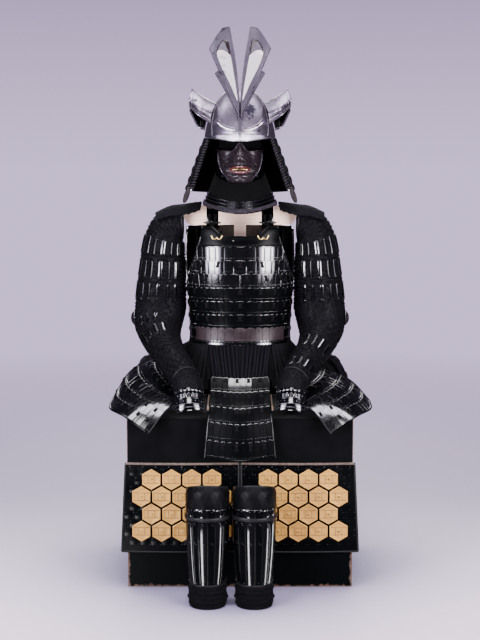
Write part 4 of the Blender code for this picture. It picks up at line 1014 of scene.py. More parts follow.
def build_bowl():
    turn = [-180 + 360 / 72 * k for k in range(72)]
    heights = (1.4735, 1.467, 1.454, 1.436, 1.412, 1.388, 1.360, 1.337, 1.325)
    grid = [[bowl(d, min(z, 1.469), -0.013 if z > 1.47 else 0.0) for d in turn] for z in heights]
    grid[0] = [Vector((p.x, p.y, 1.4737)) for p in grid[0]]
    grid.append([bowl_rim(d) for d in turn])
    patch = Patch(grid, around=True)
    m = Maker()
    v = np.concatenate([np.linspace(0, 0.86, 30), np.linspace(0.88, 1.0, 8)])[:, None]
    u = np.linspace(0, 1, 144, endpoint=False)[None]
    outer = patch.at(v, u)
    m.grid(outer, 0, around=True)
    m.grid(patch.at(v, u, -0.002), 3, around=True, flip=True)
    m.grid(np.stack([outer[-1], patch.at(np.full(144, 1.0), u[0], -0.002)]), 0, around=True)
    top = np.array([0, BOWL_MIDDLE, BOWL_APEX + 0.0002])
    m.add(np.concatenate([outer[0], [top]]), [np.array([[144, k, (k + 1) % 144] for k in range(144)])], 0)
    m.tube(patch.line(0.995, (0, 1), 0.0006, 97)[:-1], 0.0022, 0, 8, closed=True)
    for sign in (-1, 1):  # the brow plate's edge, from the crown past the ear to the visor's corner
        stops = zip(np.linspace(64, 50, 24), np.linspace(1.418, 1.322, 24))
        m.tube([tuple(bowl(sign * d, z, 0.0004)) for d, z in stops], 0.0013, 0, 6)
    for r, h in ((0.016, 0.0012), (0.011, 0.0026), (0.006, 0.0042)):  # the ring plate at the crown
        ring = [[r * math.cos(a), BOWL_MIDDLE + r * math.sin(a), BOWL_APEX - 0.0030 + h]
                for a in np.linspace(0, 2 * np.pi, 33)[:-1]]
        m.tube(ring, 0.0015, 2, 8, normal=(0, 0, 1), closed=True)
    # a low ridge down the middle of the brow, to the visor's edge
    path = [np.array(bowl(0, z, 0.0006)) for z in np.linspace(1.372, 1.3255, 12)] + [np.array(bowl_rim(0))]
    m.tube(path, 0.0022, 0, 8, normal=(0, -1, 0.2), flat=0.8)
    m.piece("helmet_bowl_plates", [BOWL_SILVER, RUSSET, SILVER, SATIN], ["helmet_bowl"])


def build_brows():
    """Embossed eyebrows: tapering ridges that follow the bowl above the visor; the lower ridge is painted
    light silver as a painted highlight.
    """
    places = [(6.5, 1.3365), (10, 1.3370), (16, 1.3385), (24, 1.3425), (32, 1.349), (39, 1.358), (42, 1.362)]
    for side, sign in SIDES:
        m = Maker()
        for lift, width, tilt, slot in ((0.0, 0.0042, 0.0, 0), (0.0062, 0.0018, 0.0030, 1)):
            s = np.linspace(0, 1, 25)
            path = []
            for t in s:
                i = min(int(t * 6), 5)
                f = t * 6 - i
                d = places[i][0] * (1 - f) + places[i + 1][0] * f
                z = places[i][1] * (1 - f) + places[i + 1][1] * f + lift + tilt * t
                path.append(tuple(bowl(sign * d, z, width * 0.5)))
            taper = 0.35 + 0.65 * np.sin(np.pi * np.clip(s * 0.9 + 0.08, 0, 1)) ** 0.7
            m.tube(path, width * taper, slot, 8)
        m.piece("brow_ridges_" + side, [BROW_PAINTED_HIGHLIGHT, SILVER], ["brow_ridge_" + side])


def ear_control(sign):
    """Points of the scrolled ear, rows round the scroll and columns outward."""
    rows = (
        ((0.0862, -0.072, 1.360), (0.1200, -0.086, 1.382), (0.1475, -0.066, 1.408)),
        ((0.0832, -0.078, 1.392), (0.1140, -0.094, 1.405), (0.1485, -0.074, 1.432)),
        ((0.0712, -0.034, 1.420), (0.1080, -0.040, 1.440), (0.1410, -0.040, 1.462)),
        ((0.0932, 0.020, 1.390), (0.1260, 0.030, 1.398), (0.1500, 0.006, 1.424)),
        ((0.1060, 0.008, 1.343), (0.1270, 0.018, 1.354), (0.1500, -0.004, 1.400)),
    )
    return [[(x * sign, y, z) for x, y, z in row] for row in rows]


def build_ears():
    for side, sign in SIDES:
        control = ear_control(sign)
        us, vs = spread(21, 0, 1), spread(49, 0, 1)
        outer = np.array([[tuple(patch_point(control, v, u)) for u in us] for v in vs])
        middle = np.array([[sign * (0.108 + 0.040 * u), -0.030, 1.375 + 0.045 * u] for u in us])[None]
        inward = unit(middle - outer)
        lining = outer + inward * 0.0026
        order = slice(None, None, sign)
        m = Maker()
        m.shell(outer[:, order], (outer + inward * 0.0022)[:, order], 0)
        m.grid(lining[1:-1, 1:-1][:, order], 1, flip=True)
        mid = outer + inward * 0.0011
        for path, radius in ((mid[0], 0.0024), (mid[-1], 0.0030), (mid[:, -1], 0.0024)):
            m.tube(path, radius, 0, 8)
        for path in (mid[3] - inward[3] * 0.0016, mid[:, -3] - inward[:, -3] * 0.0016):
            m.tube(path, 0.0011, 0, 6)
        m.piece("helmet_ear_scroll_" + side, [SILVER, SATIN], ["helmet_ear_" + side])


def flat_form(m, outline, y_front, y_back, slot):
    """A flat plate between two depths from an outline of (x, z) points, with a softened front edge."""
    points = np.array(outline, float)
    centre = points.mean(axis=0)
    inset = centre + (points - centre) * 0.985
    n = len(points)
    layers = [(points, y_back), (points, y_front + 0.0006), (inset, y_front)]
    verts = np.array([[x, y, z] for ring, y in layers for x, z in ring])
    i = np.arange(n)
    j = (i + 1) % n
    area = sum(points[a][0] * points[b][1] - points[b][0] * points[a][1] for a, b in zip(i, j))
    faces = [np.stack([k * n + i, k * n + j, (k + 1) * n + j, (k + 1) * n + i], -1) for k in range(2)]
    faces += [np.array([2 * n + i]), np.array([i[::-1]])]
    m.add(verts, faces if area > 0 else [f[:, ::-1] for f in faces], slot)


def smooth_outline(corners, steps=5):
    """A rounded outline through its corners."""
    c = [np.array(p, float) for p in corners]
    n = len(c)
    line = []
    for i in range(n):
        p0, p1, p2, p3 = c[i - 1], c[i], c[(i + 1) % n], c[(i + 2) % n]
        for t in np.arange(steps) / steps:
            even = p1 + (p2 - p0) * (t / 2) + (p0 * 2 - p1 * 5 + p2 * 4 - p3) * (t * t / 2)
            line.append(even + (p1 * 3 - p0 - p2 * 3 + p3) * (t**3 / 2))
    return line


# Crest outlines in tenths of a millimetre, (x, z), of the blade, the parts of its drop and the wing
CREST_DEPTH = -0.1485
BLADE = (
    (305, 16310), (400, 16305), (508, 16270), (700, 16015), (886, 15700), (640, 15130), (330, 14470), (30,
        13810),
    (12, 14180), (60, 14800), (170, 15600),
)
DROP = (
    (512, 15935), (348, 15945), (292, 15790), (248, 15480), (200, 15120), (127, 14690), (64, 14250), (100,
        14240),
    (290, 14690), (512, 15120), (660, 15480), (692, 15620), (622, 15795),
)
# the drop's light inlay: a painted reflection
DROP_PAINTED_REFLECTION = (
    (656, 15620), (494, 15650), (292, 15520), (248, 15370), (200, 15110), (130, 14690), (72, 14270), (102,
        14270),
    (290, 14700), (505, 15120), (640, 15450),
)
# a grey patch near the top of the drop: painted half-shade
DROP_PAINTED_HALF_SHADE = (640, 15640), (520, 15880), (430, 15860), (400, 15750), (330, 15600), (420, 15540), (560, 15560)
CREST_WING = (
    (610, 15090), (668, 15046), (724, 15000), (490, 14600), (30, 13730), (12, 13840), (300, 14470),
)


def build_crest():
    """Two tall blades with raised borders and a long sunk drop in each, and a narrow pair behind."""
    y = CREST_DEPTH
    for side, sign in SIDES:
        blade, drop, drop_reflection, drop_half_shade, wing = (
            [(sign * x / 1e4, z / 1e4) for x, z in form] for form in (BLADE, DROP, DROP_PAINTED_REFLECTION, DROP_PAINTED_HALF_SHADE,
                CREST_WING))
        drop, drop_reflection, drop_half_shade = (smooth_outline(form) for form in (drop, drop_reflection, drop_half_shade))
        m = Maker()
        flat_form(m, blade, y - 0.0015, y + 0.0015, 0)
        m.tube([(x, y - 0.0016, z) for x, z in blade], 0.0014, 0, 8, normal=(0, -1, 0), closed=True)
        # the drop in dark russet, a light inlay and a grey patch: painted shade at the drop's top, a painted
        # reflection below it and painted half-shade between
        flat_form(m, drop, y - 0.0019, y - 0.0010, 2)
        m.tube([(x, y - 0.0019, z) for x, z in drop], 0.0010, 0, 8, normal=(0, -1, 0), closed=True)
        flat_form(m, drop_reflection, y - 0.0027, y - 0.0012, 1)
        flat_form(m, drop_half_shade, y - 0.0023, y - 0.0012, 3)
        finishes = [CREST, CREST_PAINTED_REFLECTION, RUSSET, SILVER]
        m.piece("crest_blade_relief_" + side, finishes, ["crest_blade_" + side])
        m = Maker()
        flat_form(m, wing, y + 0.0018, y + 0.0048, 0)
        m.tube([(x, y + 0.0018, z) for x, z in wing], 0.0010, 0, 6, normal=(0, -1, 0), closed=True)
        m.piece("crest_wing_relief_" + side, [CREST], ["crest_wing_" + side])


def neck_point(degrees, share):
    """A point on the flaring neck guard, a share of the way down."""
    angle = math.radians(degrees)
    half_width, half_depth = 0.1062 + 0.0563 * share, 0.1247 + 0.0553 * share
    dip = 0.010 * share * max(0.0, -math.cos(angle))
    z = BOWL[0].z - 0.0005 - 0.152 * share - dip
    return Vector((half_width * math.sin(angle), BOWL_MIDDLE - half_depth * math.cos(angle), z))


def close_lacing(m, patch, v0, v1, spacing, out, width, slot):
    """Braids side by side over the joint of two lames."""
    u0, u1 = 0.004, 0.996
    s = np.linspace(0, 1, 5)
    over = out + 0.0014 * np.sin(np.pi * s)
    for u in np.linspace(u0, u1, int(patch.width * (u1 - u0) / spacing)):
        cord_on(m, patch, v0 + (v1 - v0) * s, np.full(5, u), over, width, slot, 0.5, 5)


def build_neck_guard():
    patch = Patch([[neck_point(d, s) for d in spread(41, 62, 298)] for s in spread(9, 0, 1)])
    m = Maker()
    m.wall(patch, 12, 60, BEHIND, -PLATE, 3)
    edges = [0.0, 0.2, 0.4, 0.6, 0.8, 1.0]
    for k in range(5):
        v0, v1 = edges[k], edges[k + 1]
        lame(m, patch, v0, min(v1 + 0.02, 1.0), 44, head=0.0012, proud=0.0034, swell=0.0006)
        if k:
            close_lacing(m, patch, v0 - 0.065, v0 + 0.045, 0.0072, 0.0030, 0.0062, 1)
    close_lacing(m, patch, 0.90, 0.995, 0.0072, 0.0024, 0.0064, 1)
    m.tube(patch.line(0.997, (0, 1), 0.0008, 80), 0.0024, 0, 8)
    for u in (0.0, 1.0):  # the front edges, bound round and round with lacing
        s = np.linspace(0.01, 0.995, 260)
        p, _, side, n = patch.frames(s, np.full(260, u))
        turn = s * 2 * np.pi * 19
        coil = p + (side * np.cos(turn)[:, None] + n * np.sin(turn)[:, None]) * 0.0036
        m.tube(coil, 0.0027, 2, 6)
        m.tube(p[::9], 0.0030, 0, 6)
    m.piece("neck_guard_lames", [LACQUER, BRAID, ROPE, STAND_BLACK], ["neck_guard"])


def build_neck_tabs():
    """The neck guard's soft front tabs, leaf-shaped and leaning outward, each with a seam."""
    for side, sign in SIDES:
        low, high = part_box("neck_guard_tab_" + side)
        x, y = (low[0] + high[0]) / 2, (low[1] + high[1]) / 2
        grid, seam = [], []
        for t in spread(17, 0, 1):
            z = high[2] - (high[2] - low[2]) * t
            half = 0.0064 * (math.sin(math.pi * (0.10 + 0.84 * t ** 1.25)) ** 0.55)
            centre = x + sign * 0.0165 * (t - 0.5) * 0.9
            turns = np.linspace(0, 2 * np.pi, 17)[:-1]
            grid.append([(centre + half * 1.35 * math.sin(a), y + half * math.cos(a), z) for a in turns])
            seam.append((centre + sign * 0.0028, y, z))
        m = Maker()
        m.grid(np.array(grid), 0, around=True)
        for end, order in ((0, -1), (-1, 1)):
            m.add(np.array(grid[end]), [np.array([np.arange(16)[::order]])], 0)
        m.tube(seam[1:-1], 0.0010, 1, 6)
        tab = m.piece("neck_tab_" + side, [TAB_LEATHER, BRAID], ["neck_guard_tab_" + side],
            60)


# Mask and throat guard

HEAD_MIDDLE = -0.005
# How far each form of the face stands out, its place and width across, its place and size in height
FACE = (
    (0.030, 0.0, 0.016, 1.255, 0.022), (0.012, 0.0, 0.010, 1.285, 0.020), (0.008, 0.016, 0.010, 1.250, 0.012),
    (0.007, 0.042, 0.015, 1.268, 0.022), (0.009, 0.0, 0.036, 1.236, 0.006), (-0.010, 0.0, 0.032, 1.2255,
        0.005),
    (0.009, 0.0, 0.032, 1.214, 0.006), (0.012, 0.0, 0.020, 1.192, 0.012),
)


def mask_point(degrees, z, out=0.0, detail=False):
    edge = lookup([(r.z, r.half_width) for r in HEAD], z)
    base = ring_point(HEAD, HEAD_MIDDLE, degrees, z, 1.0, PLATE - GAP + out)
    share = max(0.0, math.cos(math.radians(degrees * 90.0 / MASK_REACH))) ** 0.8
    x = base.x
    side = abs(x)
    relief = 0.040 * share
    for rise, middle, width, height, tall in FACE:
        relief += rise * bump(side, middle, width) * bump(z, height, tall)
    if detail:
        fold = z - 1.262 + 0.50 * (side - 0.030)
        folds = bump(fold, 0.0, 0.0030) + bump(fold, -0.012, 0.0030)
        relief += 0.0026 * folds * bump(side, 0.038, 0.014) * share
        relief -= 0.0030 * bump(side, 0.009, 0.0045) * bump(z, 1.2440, 0.0040)
        relief += 0.0022 * bump(side, 0.013, 0.0040) * bump(z, 1.2500, 0.0060)
        relief -= 0.0016 * bump(side, 0.0, 0.003) * bump(z, 1.192, 0.009)
    direction = Vector((x / max(edge, 0.01) * 0.35, -1.0, 0.0)).normalized()
    return base + direction * relief


def mask_top(degrees):
    return 1.276 + 0.026 * bump(degrees, 0, 9) + 0.010 * min(1.0, abs(degrees) / 80.0) ** 2


def mask_bottom(degrees):
    return 1.178 + 0.030 * (abs(degrees) / 80.0) ** 2


def on_mask(x, z, out):
    """A place on the mask's face with this x and z."""
    angle = math.degrees(math.asin(max(-1, min(1, x / 0.068))))
    for _ in range(14):
        angle += (x - mask_point(angle, z, 0, True).x) / 0.0012
    p = mask_point(angle, z, 0, True)
    return p + Vector((p.x * 2.0, -1.0, 0.0)).normalized() * out


HOOK = (0.0445, 1.2440, 0.0), (0.0460, 1.2400, 0.006), (0.0480, 1.2350, 0.0085), (0.050, 1.2300, 0.0065)


def build_mask():
    rows, columns = 71, 97
    outer = np.zeros((rows, columns, 3))
    for c, d in enumerate(spread(columns, -MASK_REACH, MASK_REACH)):
        top, bottom = mask_top(d), mask_bottom(d)
        for r in range(rows):
            outer[r, c] = mask_point(d, top + (bottom - top) * r / (rows - 1), 0, True)
    level = outer * np.array([0, 0, 1])
    inner = outer - unit(outer - np.array([0, HEAD_MIDDLE, 0]) - level) * 0.0022
    m = Maker()
    m.shell(outer, inner, 0)
    cheek = [(1.180, 0.030), (1.197, 0.038), (1.215, 0.052), (1.235, 0.061), (1.262, 0.0655), (1.300, 0.0655)]
    centre = (outer[:-1, :-1] + outer[1:, 1:]) / 2
    # the mask's sides behind the cheeks' edge take black lacquer: painted shade where the sides turn from the
    # light
    for i, (x, _, z) in enumerate(centre.reshape(-1, 3)):
        if abs(x) > lookup(cheek, z):
            m.slots[i] = 3
    # a thin silver line along each cheek's edge: a painted highlight on the edge
    for sign in (-1, 1):
        path = [tuple(on_mask(sign * lookup(cheek, z), z, 0.0006)) for z in np.linspace(1.192, 1.272, 24)]
        m.tube(path, 0.0013 * np.sin(np.linspace(0.3, np.pi - 0.3, 24)), 4, 6)
    m.tube((outer[0] + inner[0]) / 2, 0.0019, 0, 8)
    m.tube((outer[-1] + inner[-1]) / 2, 0.0019, 0, 8)
    # lips as two rolls that meet in the corners, with a gilt line of teeth between them
    s = np.linspace(-1, 1, 41)
    for z0, arch, radius in ((1.2325, 0.0035, 0.0042), (1.2160, -0.0030, 0.0044)):
        heights = z0 - arch * (s * s) * 1.8 + (1.2240 - z0) * s ** 6
        path = [tuple(on_mask(0.0315 * t, z, 0.0006)) for t, z in zip(s, heights)]
        m.tube(path, radius * (1 - np.abs(s) ** 3 * 0.75), 1, 10)
    path = [tuple(on_mask(0.027 * t, 1.2250 - 0.002 * t * t, 0.0012)) for t in s]
    m.tube(path, 0.0019 * (1 - np.abs(s) ** 4 * 0.6), 2, 8)
    for sign in (-1, 1):  # cord hooks and sweat rivets on the cheeks
        for x, z, r in ((0.060, 1.236, 0.0032), (0.051, 1.205, 0.0026)):
            p = on_mask(sign * x, z, 0.0)
            n = np.array(Vector((sign * 0.75, -0.66, 0)))
            m.studs([tuple(p)], (0.66, sign * 0.75, 0), (0, 0, 1), n, r, 0.003)
        path = [tuple(on_mask(sign * x, z, h)) for x, z, h in HOOK]
        m.tube(path, 0.0016, 0, 6)
    m.piece("mask_face", [RUSSET, LIP_RED, GILT, MATT, SILVER], ["face_mask"], 55)


def throat_point(degrees, share):
    z = mask_bottom(degrees) + 0.007
    top = mask_point(degrees, z, PLATE + 2 * GAP)
    angle = math.radians(degrees)
    z = 1.120 - 0.024 * max(0.0, math.cos(angle)) ** 2
    bottom = Vector((0.1090 * math.sin(angle), -0.004 - 0.160 * math.cos(angle), z))
    return top.lerp(bottom, share)


def build_throat_guard():
    patch = Patch([[throat_point(d, s) for d in spread(33, -MASK_REACH, MASK_REACH)]
        for s in spread(7, 0, 1)])
    m = Maker()
    m.wall(patch, 10, 60, BEHIND, -PLATE)
    edges = [0.0, 0.64, 0.75, 0.86, 1.0]
    for k in range(4):
        v0, v1 = edges[k], edges[k + 1]
        proud, slot = (0.0042, 0) if k else (0.0016, 3)
        lame(m, patch, v0, min(v1 + 0.02, 1.0), 30, 0.0006, proud, 0.0004, 0.0002, slot)
        if not k:
            continue
        m.tube(patch.line(v0 + 0.004, (0, 1), 0.0040, 70), 0.0016, 0, 6)
        beads(m, patch, v0 + 0.014, 0.0044, 0.0013, 0.0010, 2, out=0.0042)
        if k == 3:
            close_lacing(m, patch, v0 + 0.020, 0.985, 0.0042, 0.0040, 0.0031, 2)
    m.tube(patch.line(0.996, (0, 1), 0.0022, 70), 0.0022, 0, 8)
    m.piece("throat_guard_lames", [DULL, BRAID, COMB, STAND_BLACK], ["throat_guard"])


# light metal for the inlay in each crest blade's drop: a painted reflection
CREST_PAINTED_REFLECTION = metal("crest_painted_reflection", (0.62, 0.57, 0.60), (0.50, 0.455, 0.50), (0.22, 0.20, 0.24), 0.42, 14,
    0.62, 0.03, 0.6)
# light silver for the lower brow ridges: a painted highlight
BROW_PAINTED_HIGHLIGHT = metal("silver_painted_highlight", (0.62, 0.57, 0.63), (0.36, 0.32, 0.38), (0.10, 0.09, 0.11), 0.30, 16, 0.58,
    0.04, 1.0)
ROPE = braid("bound_rope", (0.006, 0.0052, 0.0070), (0.036, 0.031, 0.038))
TAB_LEATHER = leather("tab_leather", (0.010, 0.008, 0.009), (0.026, 0.021, 0.023), 90, 0.6, 0.1)
build_bowl()
build_brows()
build_ears()
build_crest()
build_neck_guard()
build_neck_tabs()
build_mask()
build_throat_guard()


# Sleeves

def sleeve_rings(sign, columns=28):
    """Rings across the arm, turned with its middle line from the shoulder to the wrist."""
    places = [Vector((sign * row[0], row[1], row[2])) for row in SLEEVE]
    across, deep = [row[3] for row in SLEEVE], [row[4] for row in SLEEVE]
    stops = [0.0] + spread(15, 0.11, 1.0)
    path = [along(places, s) for s in stops]
    up, side, tangent = Vector((0, 0, 1)), Vector((0, 1, 0)), Vector((sign, 0, 0))
    rings = []
    for i, share in enumerate(stops):
        if i:
            reach = 1 if i < 5 else 2
            run = (path[min(i + reach, len(path) - 1)] - path[i - reach]).normalized()
            turn = tangent.rotation_difference(run)
            up, side, tangent = turn @ up, turn @ side, run
        a, d = along(across, share), along(deep, share)
        rings.append([path[i] + up * (a * math.cos(t)) + side * (d * math.sin(t))
                      for t in (2 * math.pi * k / columns * sign for k in range(columns))])
    return rings


def ring_form(segments=6, sides=3, thick=0.24):
    """A mail ring of radius 1 lying on the plane z = 0."""
    points = []
    for a in 2 * np.pi * np.arange(segments) / segments:
        for b in 2 * np.pi * np.arange(sides) / sides + 0.5:
            r = 1 - thick + thick * math.cos(b)
            points.append((r * math.cos(a), r * math.sin(a), thick * 0.8 * math.sin(b)))
    i = np.arange(segments * sides).reshape(segments, sides)
    i = np.concatenate([i, i[:, :1]], axis=1)
    i = np.concatenate([i, i[:1]], axis=0)
    return np.array(points), [quads(i)]


RING = ring_form()
LINK_POINTS = np.array((
    (-1, -0.3, -0.3), (1, -0.3, -0.3), (1, 0.3, -0.3), (-1, 0.3, -0.3),
    (-0.7, -0.2, 0.9), (0.7, -0.2, 0.9), (0.7, 0.2, 0.9), (-0.7, 0.2, 0.9)))
LINK = (LINK_POINTS, [np.array([[4, 5, 6, 7], [0, 1, 5, 4], [1, 2, 6, 5], [2, 3, 7, 6], [3, 0, 4, 7]])])


def creases(v, u):
    """Folds of the sleeve's cloth, deepest at the armpit and the crook of the elbow."""
    turn = 2 * np.pi * u
    inner = 0.5 - 0.5 * np.cos(turn)
    elbow = np.exp(-((v - 0.60) / 0.085) ** 2)
    pit = np.exp(-((v - 0.12) / 0.07) ** 2)
    fold = np.sin(v * 150 + 1.6 * np.sin(turn)) * elbow * 0.0010 * (0.3 + inner)
    fold = fold + np.sin(v * 120 + 2.0 * np.sin(turn + 0.5)) * pit * 0.0005 * inner
    return fold + 0.0006 * np.sin(turn * 3 + v * 21) * np.sin(v * 14)


def mail(m, patch, v0, v1, pitch, folds=creases):
    """Round rings joined by links, on the sleeve's surface."""
    rows = int(patch.height * (v1 - v0) / pitch)
    for k in range(rows):
        v = v0 + (v1 - v0) * (k + 0.5) / rows
        count = int(patch.girth(v) / pitch)
        u = (np.arange(count) + 0.25 + 0.5 * (k % 2)) / count
        wander = 0.22 * pitch / patch.height * np.sin(u * 61 + k * 1.7) * (0.02 < v) * (v < 0.98)
        vv = v + wander
        p, down, side, n = patch.frames(vv, u)
        p = p + n * (folds(vv, u) + 0.0008)[:, None]
        tilt = (0.12 * (1 if k % 2 else -1) + 0.30 * np.sin(np.arange(count) * 2.4 + k * 5.1))[:, None]
        lean = unit(down * np.cos(tilt) + n * np.sin(tilt))
        m.copies(*RING, p, side, -lean, np.cross(side, -lean), 0, pitch * 0.50)
        p2, d2, s2, n2 = patch.frames(vv, u + 0.5 / count)
        m.copies(*LINK, p2 + n2 * (folds(vv, u) + 0.0008)[:, None], s2, -d2, n2, 0, pitch * 0.26)


def v_at(patch, u, z):
    """How far down the patch the height z lies."""
    v = np.linspace(0, 1, 300)
    return float(np.interp(-z, -patch.line((0, 1), u, 0.0, 300)[:, 2], v))


def splint_form():
    """A tall domed splint, rounded at its ends, on the plane z = 0."""
    t = np.linspace(-1, 1, 13)
    half = np.sqrt(np.clip(1 - np.clip((np.abs(t) - 0.80) / 0.20, 0, 1) ** 2, 0.02, 1))
    s = np.array([-1, -0.93, -0.6, 0, 0.6, 0.93, 1])
    gx = s[None] * half[:, None]
    gy = np.broadcast_to(t[:, None], gx.shape)
    gz = np.where(np.abs(s[None]) > 0.99, 0.0,
        1 - 0.80 * s[None] ** 2) * (0.35 + 0.65 * half[:, None]) + 0.0 * gy
    index = np.arange(gx.size).reshape(gx.shape)
    return np.stack([gx, gy, gz], -1).reshape(-1, 3), [quads(index, ROD_ORDER)[:, ::-1]]


SPLINT = splint_form()


def splints(m, patch, v, pitch, reach, half_width, half_length):
    """Splints side by side round a sleeve, by turns bright and dull, reach of them to each side."""
    points, faces = SPLINT
    places = [k * pitch / patch.girth(v) for k in range(-reach, reach + 1)]
    vv = v + points[:, 1] * half_length / patch.height
    for slot, some in ((0, places[::2]), (2, places[1::2])):
        for u in some:
            p, _, side, n = patch.frames(vv, np.full(len(vv), u))
            placed = p + side * (points[:, :1] * half_width) + n * (points[:, 2:] * 0.0026 + 0.0008)
            m.add(placed, faces, slot)
    return places


def splint_studs(m, patch, v, places):
    p, down, side, n = patch.frames(np.full(len(places), v), np.array(places))
    m.studs(p + n * 0.0030, side, -down, n, 0.0014, 0.0012, 1)


# height of the row, half the splint's length
UPPER_SPLINTS = (0.993, 0.0225), (0.928, 0.0235), (0.856, 0.0240)
FORE_SPLINTS = (0.722, 0.0200), (0.672, 0.0180)


def build_sleeves():
    for side, sign in SIDES:
        patch = Patch(sleeve_rings(sign), around=True)
        v = np.concatenate([np.linspace(0, 0.45, 34), np.linspace(0.46, 0.76, 50), np.linspace(0.77, 1, 22)])
        u = np.linspace(0, 1, 54, endpoint=False)
        fold = creases(v[:, None], u[None])
        m = Maker()
        m.wall(patch, v, u, fold, fold - 0.0020, 0, around=True)
        sleeve = m.piece("sleeve_cloth_" + side, [MAIL_CLOTH], ["sleeve_" + side])
        m = Maker()
        mail(m, patch, 0.015, 0.87, 0.0091)
        mail(m, patch, 0.87, 0.992, 0.0070)
        m.piece("sleeve_mail_" + side, [RING_IRON], sharp=60)
        m = Maker()
        for z, half in UPPER_SPLINTS:
            a = v_at(patch, 0.75, z)
            places = splints(m, patch, a, 0.0265, 6, 0.0064, half)
            for end in (-1, 1):
                splint_studs(m, patch, a + end * half * 0.80 / patch.height, places)
        finishes = [LACQUER, STUD, DULL]
        m.piece("upper_arm_splints_" + side, finishes, ["upper_arm_guard_" + side], 25)
        m = Maker()
        for z, half in FORE_SPLINTS:
            a = v_at(patch, 0.75, z)
            places = splints(m, patch, a, 0.0245, 4, 0.0060, half)
            splint_studs(m, patch, a - half * 0.80 / patch.height, places)
        m.piece("forearm_splints_" + side, finishes, ["forearm_guard_" + side], 25)
        m = Maker()  # bound hems
        for hem in (0.004, 0.996):
            u = np.linspace(0, 1, 73)[:-1]
            at = np.full(72, hem)
            m.tube(patch.at(at, u, creases(at, u) - 0.0006), 0.0024, 0, 8, closed=True)
        m.piece("sleeve_hems_" + side, [EDGE_BLACK])
        build_elbow(side, sign)


def build_elbow(side, sign):
    """A fluted rosette over the point of the elbow."""
    ring = [np.array(p) for p in sleeve_rings(sign, 14)[8]]
    out = unit(ring[0] - sum(ring) / len(ring))
    ax = unit(np.cross(out, [0, 1, 0]))
    ay = unit(np.cross(out, ax))
    seat = ring[0] + out * 2 * GAP
    m = Maker()
    turn = np.linspace(0, 2 * np.pi, 97)[:-1]
    petal = np.abs(np.cos(turn * 6)) ** 0.6
    lines = []
    for share in (1.0, 1.0, 0.93, 0.8, 0.62, 0.45, 0.34, 0.27):
        r = 0.0228 * share * (1 - 0.07 * (1 - petal) * (share > 0.5))
        lift = 0.0093 * (1 - share ** 2) + 0.0014 * petal * math.sin(math.pi * min(1, share)) + 0.0015
        if not lines:  # the foot of the rim
            lift = 0 * lift
        across = ax * (np.cos(turn) * r)[:, None] + ay * (np.sin(turn) * r)[:, None]
        lines.append(seat + out * lift[:, None] + across)
    outer = np.array(lines)
    m.grid(outer, 0, around=True, flip=True)
    tip = np.array([[96, (k + 1) % 96, k] for k in range(96)])
    m.add(np.concatenate([outer[-1], [seat + out * 0.0100]]), [tip], 0)
    m.studs([seat + out * 0.0098], ax, ay, out, 0.0052, 0.0026, 1)
    m.piece("elbow_rosette_" + side, [STUD, GILT], ["elbow_disc_" + side])


